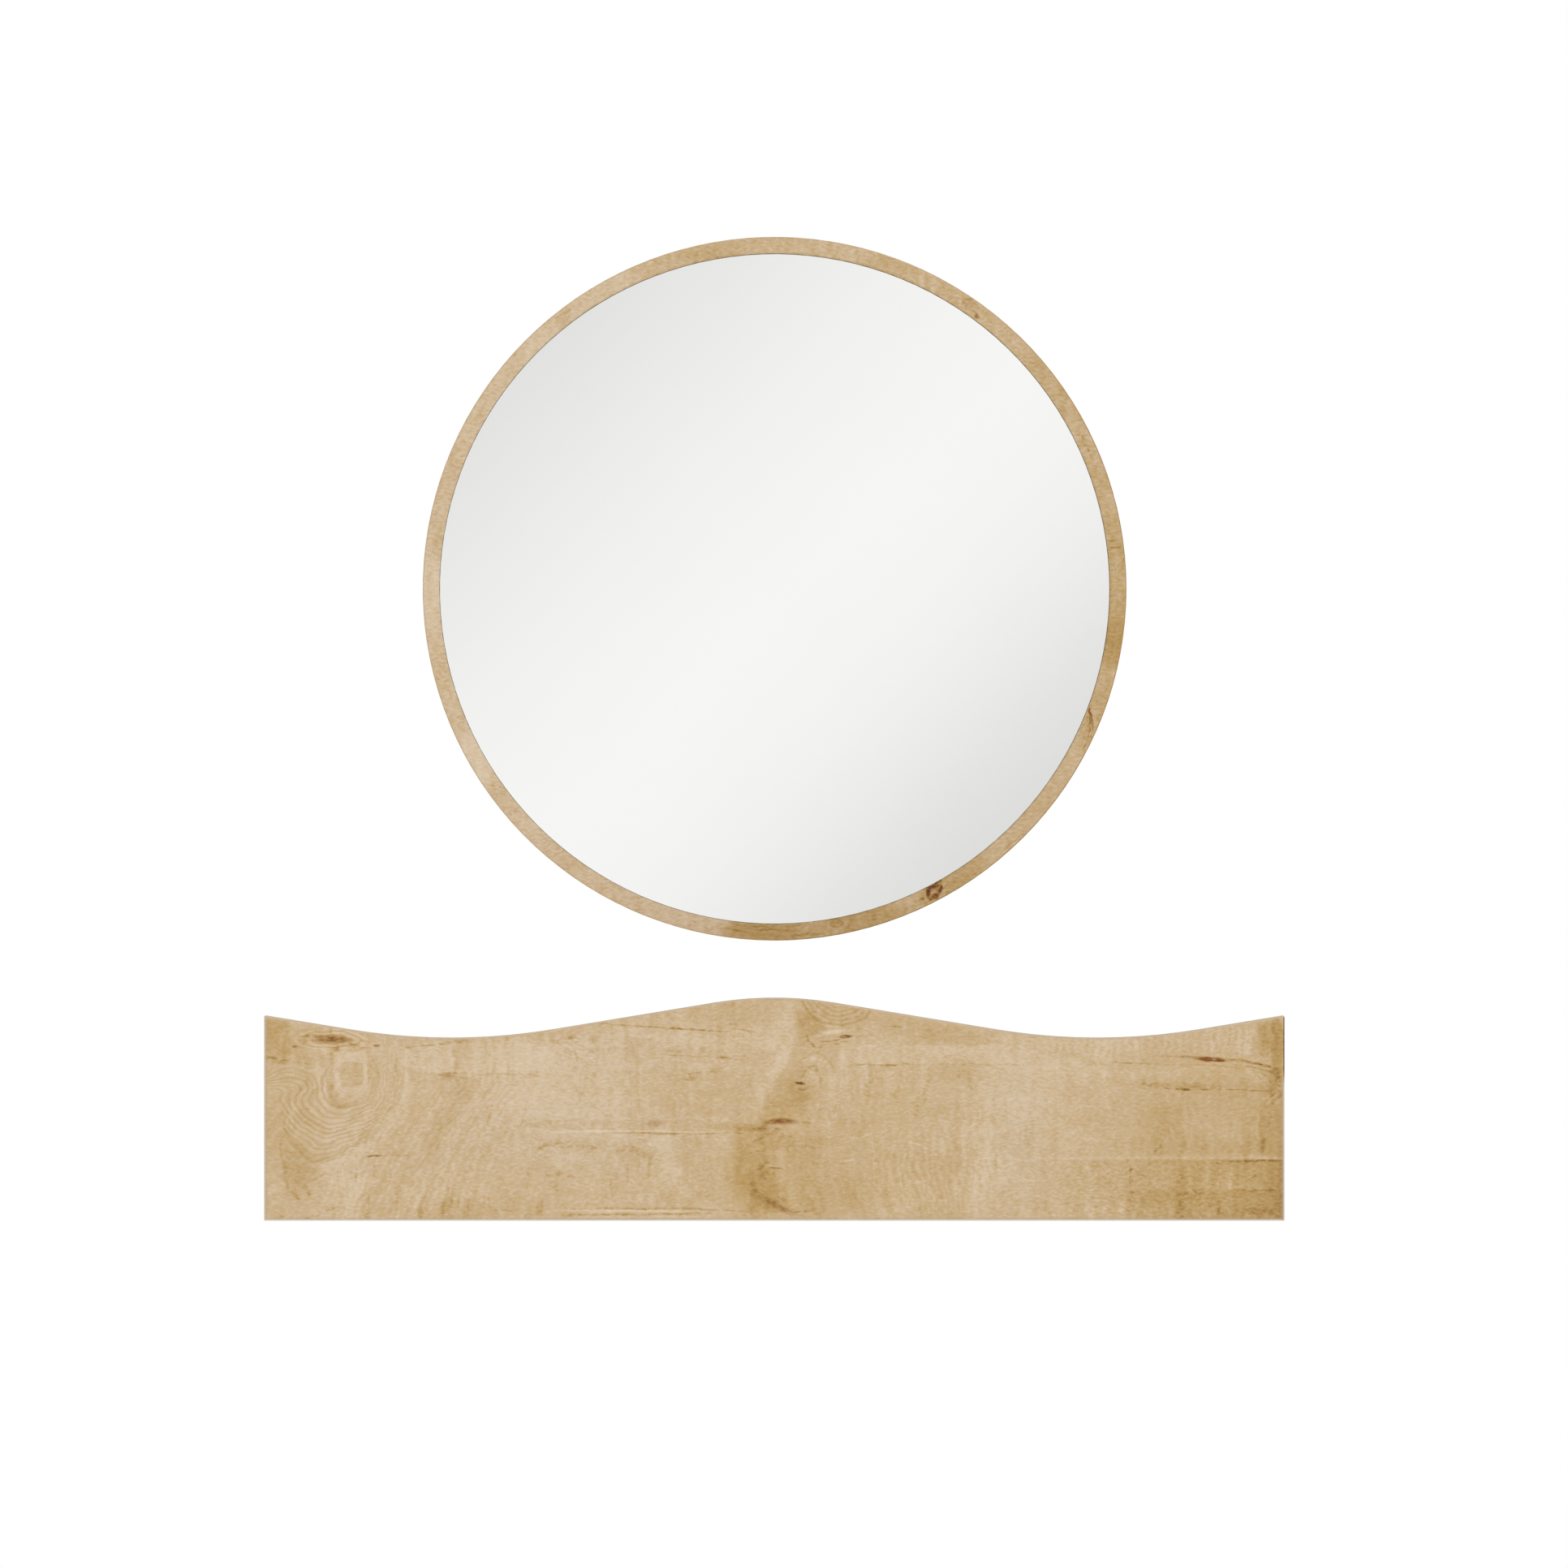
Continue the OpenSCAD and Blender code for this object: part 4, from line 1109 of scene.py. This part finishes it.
def band_material(name, along, across, shade=0.22, painted_shadow_end=False, pale=0.0):
    """Printed edge band: the grain runs along it, and its arrises are a little browner; the round band's front arris
    has painted shade at the right, and the right band's front a painted shadow at its upper part.
    pale is how far its milled front arris shows the band's own paler grey."""
    g = Graph(name)
    if along == "round":
        turn = g.math("ARCTAN2", g.add(g.z, -0.446), g.x)
        u, v = g.mul(turn, 0.3 * 1450), g.mul(g.y, 1450.0)
    else:
        axes = {"x": g.x, "y": g.y, "z": g.z}
        u, v = g.mul(axes[along], 1450.0), g.mul(axes[across], 1450.0)
    p = g.xyz(u, v, 1.0)
    tone, fibre, column, streak, pore = grain(g, p, 90.0 + len(name), 0.6)
    tone = g.add(tone, shade)
    if along == "round":
        # painted shade: its front arris is darker at the right
        side = g.step(g.math("COSINE", g.add(turn, 0.42)), 0.10, 0.60)
        side = g.mul(side, g.math("LESS_THAN", g.y, -0.0177))
        tone = g.mad(side, 0.85, tone)
    # painted shadow: the right band's front is very dark in its upper part
    if painted_shadow_end:
        dark = g.mul(g.math("LESS_THAN", g.y, -0.1793), g.step(g.z, 0.030, 0.045, 0.0, 1.0))
        tone = g.mad(dark, 2.1, tone)
    color = g.ramp(tone, [(t, shaded(c)) for t, c in OAK], -0.35, 3.4)
    if pale:
        front = g.math("LESS_THAN", g.y, -0.1794)
        if painted_shadow_end:
            front = g.mul(front, g.step(g.z, 0.030, 0.045, 1.0, 0.0))
        color = g.mix(g.mul(front, pale), color, shaded((220, 210, 198)))
    rough = g.mad(fibre, 0.02, 0.42)
    normal = g.bump(g.mad(fibre, 0.25, g.mul(pore, -1.0)), 0.3, 0.00005)
    return g.finish(color, rough, normal, Specular_IOR_Level=0.42)


# Knots of the other boards: face, along, across, size in points, depth
SHELF_KNOTS = [
    (1, -0.214, -0.061, 13, 0.90),
    (1, 0.126, -0.104, 9, 0.75),
    (0, 0.236, -0.080, 12, 0.85),
]
SHELF_LINES = [
    # face, along, across, half length, half width, degrees, tone
    (1, -0.060, -0.040, 80, 1.4, 0, 0.34),
    (1, -0.010, -0.042, 30, 2.2, 1, 0.44),
    (1, 0.250, -0.058, 110, 1.5, -0.5, 0.34),
    (1, -0.330, -0.112, 60, 1.5, 1, 0.36),
    (1, 0.020, -0.128, 90, 1.4, 0, 0.30),
    (1, 0.330, -0.120, 60, 2.0, -1, 0.34),
    (1, -0.120, -0.085, 120, 40, 0, -0.15),
    (1, 0.200, -0.100, 110, 50, 0, 0.16),
    (1, -0.320, -0.050, 90, 50, 0, 0.14),
    (1, 0.340, -0.040, 80, 36, 0, -0.14),
    (0, -0.150, -0.070, 110, 1.5, 0, 0.34),
    (0, 0.040, -0.110, 70, 1.6, 1, 0.36),
    (0, -0.290, -0.110, 60, 1.5, -1, 0.34),
    (0, 0.000, -0.080, 130, 50, 0, 0.14),
    (0, -0.260, -0.060, 90, 44, 0, -0.14),
]
LEFT_KNOTS = [(0, -0.072, 0.012, 12, 0.85)]
LEFT_LINES = [
    (0, -0.100, 0.046, 60, 1.4, 0, 0.34),
    (0, -0.060, -0.046, 80, 1.5, 1, 0.36),
    (0, -0.126, -0.020, 30, 1.8, 1, 0.38),
    (0, -0.090, -0.030, 90, 40, 0, 0.16),
    (0, -0.050, 0.050, 60, 26, 0, -0.15),
    (1, -0.090, -0.030, 70, 1.5, 0, 0.32),
]
RIGHT_KNOTS = [(1, -0.098, -0.022, 10, 0.80)]
RIGHT_LINES = [
    (1, -0.070, 0.036, 80, 1.5, 0, 0.36),
    (1, -0.110, 0.041, 30, 2.2, -1, 0.42),
    (1, -0.060, -0.056, 70, 1.4, 1, 0.34),
    (1, -0.120, 0.012, 36, 1.4, 0, 0.30),
    (1, -0.050, -0.020, 60, 44, 0, 0.16),
    (1, -0.120, 0.050, 60, 26, 0, -0.15),
    (0, -0.090, -0.030, 70, 1.5, 0, 0.32),
]


def mirror_material():
    """Silvered glass: a clean face, ground arrises with the glass's green, a painted back."""
    g = Graph("silvered_glass")
    front = g.math("LESS_THAN", g.y, -0.01395)
    rear = g.math("GREATER_THAN", g.y, -0.01105)
    haze = g.noise(g.obj, 9.0, 9.0, 3, 0.6, (3.0, 3.0), "3D", 9.0)
    grind = g.noise(g.obj, 2600.0, 2600.0, 2, 0.6, (5.0, 5.0), "3D", 2600.0)
    silver = g.ramp(haze, [(-2.0, (249, 249, 248)), (2.0, (250, 250, 249))], -3.0, 3.0)
    edge = g.ramp(grind, [(-1.5, (196, 212, 203)), (1.5, (222, 232, 226))], -3.0, 3.0)
    paint = g.ramp(grind, [(-1.5, (96, 104, 110)), (1.5, (112, 120, 126))], -3.0, 3.0)
    color = g.mix(front, edge, silver)
    color = g.mix(rear, color, paint)
    rough = g.mixf(front, 0.35, g.step(haze, -1.0, 3.0, 0.0, 0.006))
    rough = g.mixf(rear, rough, 0.6)
    metal = g.mul(front, 1.0)
    return g.finish(color, rough, None, metal)


def metal_material(name, light, dark, rough, scale, brushed=None, spangle=0.0):
    """Plated or cast metal with uneven plating and fine handling marks."""
    g = Graph(name)
    n = g.noise(g.obj, scale, scale, 4, 0.6, (1.0, 2.0), "3D", scale)
    m = g.noise(g.obj, scale * 7, scale * 7, 3, 0.6, (4.0, 1.0), "3D", scale * 7)
    t = g.mad(m, 0.45, n)
    if brushed:
        sx, sy, sz = brushed
        b = g.noise(g.obj, sx, sy, 2, 0.6, (6.0, 2.0), "3D", sz)
        t = g.mad(b, 0.8, t)
    color = g.ramp(t, [(-2.2, dark), (2.2, light)], -3.0, 3.0)
    r = g.mad(t, 0.035, rough)
    normal = g.bump(t, 0.25, 0.00004)
    return g.finish(color, r, normal, 1.0)


def beech_material():
    g = Graph("turned_beech")
    n = g.noise(g.obj, 700.0, 120.0, 3, 0.6, (1.0, 1.0), "3D", 700.0)
    f = g.noise(g.obj, 2600.0, 320.0, 2, 0.5, (9.0, 4.0), "3D", 2600.0)
    fleck = g.step(g.noise(g.obj, 1500.0, 380.0, 1, 0.5, (3.0, 8.0), "3D", 1500.0), 1.2, 2.2)
    t = g.mad(fleck, 1.2, g.mad(f, 0.5, n))
    color = g.ramp(t, [(-2.0, (226, 192, 148)), (0.5, (208, 168, 122)), (2.5, (168, 120, 78))], -3.0, 4.0)
    return g.finish(color, g.mad(f, 0.03, 0.62), g.bump(f, 0.3, 0.00004))


def foam_material():
    g = Graph("foam_tape")
    v = g.voronoi(g.obj, 2600.0)
    n = g.noise(g.obj, 300.0, 300.0, 3, 0.6, (1.0, 1.0), "3D", 300.0)
    t = g.mad(n, 0.15, v.outputs["Distance"])
    color = g.ramp(t, [(0.0, (206, 206, 200)), (1.0, (238, 238, 233))], -0.6, 1.6)
    return g.finish(color, g.mad(n, 0.03, 0.8), g.bump(t, 0.4, 0.0001))


def cap_material():
    g = Graph("moulded_cap")
    n = g.noise(g.obj, 260.0, 260.0, 3, 0.6, (1.0, 1.0), "3D", 260.0)
    f = g.noise(g.obj, 3800.0, 3800.0, 2, 0.6, (2.0, 7.0), "3D", 3800.0)
    t = g.mad(f, 0.35, n)
    color = g.ramp(t, [(-2.0, shaded((184, 152, 106))), (2.0, shaded((198, 168, 124)))], -3.0, 3.0)
    return g.finish(color, g.mad(f, 0.03, 0.5), g.bump(f, 0.35, 0.00004), Specular_IOR_Level=0.45)


materials = {
    "mirror_board": ring_material(),
    "mirror_edge_band": band_material("decor_band_round", "round", "y", 0.05),
    "mirror_glass": mirror_material(),
    "mirror_tape": foam_material(),
    "front_panel": front_material(),
    "front_top_band": band_material("decor_band_top", "x", "y", 0.25, pale=0.30),
    "front_bottom_band": band_material("decor_band_bottom", "x", "y", 0.25, pale=0.72),
    "front_left_band": band_material("decor_band_left", "z", "y", 0.50, pale=0.50),
    "front_right_band": band_material("decor_band_right", "z", "y", 0.35, True, pale=0.60),
    "shelf_board": board_material(
        "oak_decor_shelf", "x", "y", 210.0, "z", 0.038, 0.056, 1497.0, SHELF_KNOTS, SHELF_LINES
    ),
    "side_panel_left": board_material(
        "oak_decor_side_left", "y", "z", 320.0, "x", -0.42, -0.402, 1497.0, LEFT_KNOTS, LEFT_LINES
    ),
    "side_panel_right": board_material(
        "oak_decor_side_right", "y", "z", 430.0, "x", 0.402, 0.42, 1497.0, RIGHT_KNOTS, RIGHT_LINES
    ),
    "side_left_top_band": band_material("decor_band_side", "y", "x", 0.16),
    "hanging_rail": board_material("oak_decor_rail", "x", "z", 540.0, "y", -0.018, 0.0),
    "rail_bottom_band": band_material("decor_band_rail", "x", "y", 0.16),
    "mirror_hanger_left": metal_material("zinc_plated_sheet", (206, 208, 210), (160, 163, 168), 0.3, 260.0, (900.0, 900.0, 60.0)),
    "mirror_hanger_screws": metal_material("zinc_plated_screws", (212, 210, 202), (158, 158, 154), 0.26, 500.0),
    "cam_locks": metal_material("cast_zinc", (168, 170, 172), (120, 122, 126), 0.42, 420.0),
    "dowels": beech_material(),
    "screw_caps": cap_material(),
}
same = {
    "side_left_bottom_band": "side_left_top_band",
    "side_right_top_band": "side_left_top_band",
    "side_right_bottom_band": "side_left_top_band",
    "mirror_hanger_right": "mirror_hanger_left",
    "shelf_hanger_left": "mirror_hanger_left",
    "shelf_hanger_right": "mirror_hanger_left",
    "shelf_hanger_screws": "mirror_hanger_screws",
    "confirmat_screws": "mirror_hanger_screws",
    "cam_bolts": "mirror_hanger_screws",
}
for name, obj in nodes.items():
    obj.data.materials.clear()
    obj.data.materials.append(materials[same.get(name, name)])

# Edges that a tool or a hand has broken: a small round on the bands and plates
ROUNDED = {
    "front_top_band": 0.00028,
    "front_bottom_band": 0.00028,
    "front_left_band": 0.00022,
    "front_right_band": 0.00022,
    "side_left_top_band": 0.00028,
    "side_left_bottom_band": 0.00028,
    "side_right_top_band": 0.00028,
    "side_right_bottom_band": 0.00028,
    "rail_bottom_band": 0.00028,
    "mirror_hanger_left": 0.00015,
    "mirror_hanger_right": 0.00015,
    "shelf_hanger_left": 0.00015,
    "shelf_hanger_right": 0.00015,
}
for name, width in ROUNDED.items():
    m = nodes[name].modifiers.new("broken_edge", "BEVEL")
    m.width = width
    m.segments = 2
    m.limit_method = "ANGLE"
    m.angle_limit = math.radians(50)
    m.use_clamp_overlap = True

# ------------------------------------------------------------------------ stage


def make_floor():
    """A wide pale floor under the object. Near the object it takes light and
    shadow, further out it is white, and it ends without an edge."""
    rings, parts = [0.0, 1.0, 2.0, 3.0, 5.0, 8.0], 96
    verts, faces = [(0, 0, -0.9)], []
    for r in rings[1:]:
        for i in range(parts):
            a = 2 * math.pi * i / parts
            verts.append((r * math.cos(a), r * math.sin(a), -0.9))
    for i in range(parts):
        faces.append((0, 1 + i, 1 + (i + 1) % parts))
    for k in range(len(rings) - 2):
        b = 1 + k * parts
        for i in range(parts):
            j = (i + 1) % parts
            faces.append((b + i, b + parts + i, b + parts + j, b + j))
    mesh = bpy.data.meshes.new("floor")
    mesh.from_pydata(verts, [], faces)
    mesh.update()
    floor = bpy.data.objects.new("floor", mesh)
    scene.collection.objects.link(floor)
    g = Graph("pale_floor")
    r = g.vec("LENGTH", g.vec("MULTIPLY", g.obj, (1, 1, 0)))
    n = g.noise(g.obj, 3.0, 3.0, 3, 0.5, (1, 1))
    color = g.ramp(n, [(-2.0, (236, 235, 232)), (2.0, (242, 241, 239))], -3, 3)
    b = g.new("ShaderNodeBsdfPrincipled")
    g.put(b.inputs["Base Color"], color)
    b.inputs["Roughness"].default_value = 0.7
    # in the glass it grows a little greyer further out, as a studio floor does
    seen = g.ramp(r, [(1.2, (244, 244, 242)), (3.0, (232, 232, 230)), (7.0, (210, 210, 208))], 0.0, 8.0)
    path = g.new("ShaderNodeLightPath")
    e = g.new("ShaderNodeEmission")
    g.put(e.inputs["Color"], g.mix(path.outputs["Is Glossy Ray"], (1.0, 1.0, 1.0, 1.0), seen))
    e.inputs["Strength"].default_value = 1.0
    m = g.new("ShaderNodeMixShader")
    g.put(m.inputs[0], g.step(r, 1.2, 3.0))
    g.put(m.inputs[1], b.outputs[0])
    g.put(m.inputs[2], e.outputs[0])
    gone = g.new("ShaderNodeBsdfTransparent")
    end = g.new("ShaderNodeMixShader")
    g.put(end.inputs[0], g.step(r, 3.2, 7.8))
    g.put(end.inputs[1], m.outputs[0])
    g.put(end.inputs[2], gone.outputs[0])
    out = g.new("ShaderNodeOutputMaterial")
    g.nt.links.new(end.outputs[0], out.inputs[0])
    mesh.materials.append(g.mat)


def make_world():
    """White to the camera; a soft graded studio in reflections; even light on all else."""
    world = bpy.data.worlds.new("studio")
    scene.world = world
    world.use_nodes = True
    nt = world.node_tree
    nt.nodes.clear()
    coord = nt.nodes.new("ShaderNodeTexCoord")
    dot = nt.nodes.new("ShaderNodeVectorMath")
    dot.operation = "DOT_PRODUCT"
    dot.inputs[1].default_value = (1.0, 0.0, -1.0)
    nt.links.new(coord.outputs["Generated"], dot.inputs[0])
    # grey seen in the glass by how far the reflected ray leans right and down
    seen = [
        (-1.42, 226), (-1.0, 232), (-0.7, 224), (-0.4, 212), (-0.22, 208),
        (-0.165, 212), (-0.14, 218), (-0.1176, 226), (-0.0941, 233.5),
        (-0.0707, 239.5), (-0.0472, 243), (-0.0296, 244.3), (-0.012, 242.5),
        (-0.0003, 240), (0.0114, 236), (0.0232, 231), (0.0349, 225),
        (0.0466, 220), (0.065, 213), (0.11, 206), (0.25, 206), (0.5, 214),
        (0.8, 226), (1.42, 234),
    ]
    span = 1.42
    curve = nt.nodes.new("ShaderNodeValToRGB")
    m = nt.nodes.new("ShaderNodeMath")
    m.operation = "MULTIPLY_ADD"
    m.inputs[1].default_value = 1 / (2 * span)
    m.inputs[2].default_value = 0.5
    nt.links.new(dot.outputs["Value"], m.inputs[0])
    nt.links.new(m.outputs[0], curve.inputs[0])
    els = curve.color_ramp.elements
    while len(els) > 1:
        els.remove(els[-1])
    for i, (t, grey) in enumerate(seen):
        at = (t + span) / (2 * span)
        e = els[0] if i == 0 else els.new(at)
        e.position = at
        c = lin((grey + 0.9, grey + 0.6, grey - 0.1))
        e.color = tuple(x / 0.945 for x in c[:3]) + (1.0,)
    path = nt.nodes.new("ShaderNodeLightPath")
    back = nt.nodes.new("ShaderNodeBackground")
    back.inputs["Color"].default_value = (1, 1, 1, 1)
    back.inputs["Strength"].default_value = 1.0
    glossy = nt.nodes.new("ShaderNodeBackground")
    nt.links.new(curve.outputs[0], glossy.inputs["Color"])
    glossy.inputs["Strength"].default_value = 1.0
    soft = nt.nodes.new("ShaderNodeBackground")
    soft.inputs["Color"].default_value = (1.0, 1.0, 1.0, 1)
    soft.inputs["Strength"].default_value = WORLD
    a = nt.nodes.new("ShaderNodeMixShader")
    nt.links.new(path.outputs["Is Glossy Ray"], a.inputs[0])
    nt.links.new(soft.outputs[0], a.inputs[1])
    nt.links.new(glossy.outputs[0], a.inputs[2])
    b = nt.nodes.new("ShaderNodeMixShader")
    nt.links.new(path.outputs["Is Camera Ray"], b.inputs[0])
    nt.links.new(a.outputs[0], b.inputs[1])
    nt.links.new(back.outputs[0], b.inputs[2])
    out = nt.nodes.new("ShaderNodeOutputWorld")
    nt.links.new(b.outputs[0], out.inputs[0])


WORLD = 0.70


def make_lights():
    def sun(name, toward, strength, angle, color=(1, 1, 1)):
        """A soft distant light that comes from the side that toward points to."""
        d = bpy.data.lights.new(name, "SUN")
        d.energy = strength
        d.angle = math.radians(angle)
        d.color = color
        o = bpy.data.objects.new(name, d)
        scene.collection.objects.link(o)
        o.rotation_euler = Vector(toward).to_track_quat("Z", "Y").to_euler()
        o.visible_glossy = False
        return o

    sun("key", (0.55, -0.80, 0.62), 1.15, 28)
    sun("fill_back", (-0.5, 0.8, 0.7), 0.55, 50)


def make_camera():
    cam = bpy.data.cameras.new("camera")
    cam.lens = 126.9
    cam.sensor_width = 36.0
    cam.clip_start = 0.05
    cam.clip_end = 100
    o = bpy.data.objects.new("camera", cam)
    scene.collection.objects.link(o)
    o.location = (0.008, -4.730, 0.2795)
    o.rotation_euler = (math.radians(90), 0, 0)
    scene.camera = o


make_floor()
make_world()
make_lights()
make_camera()
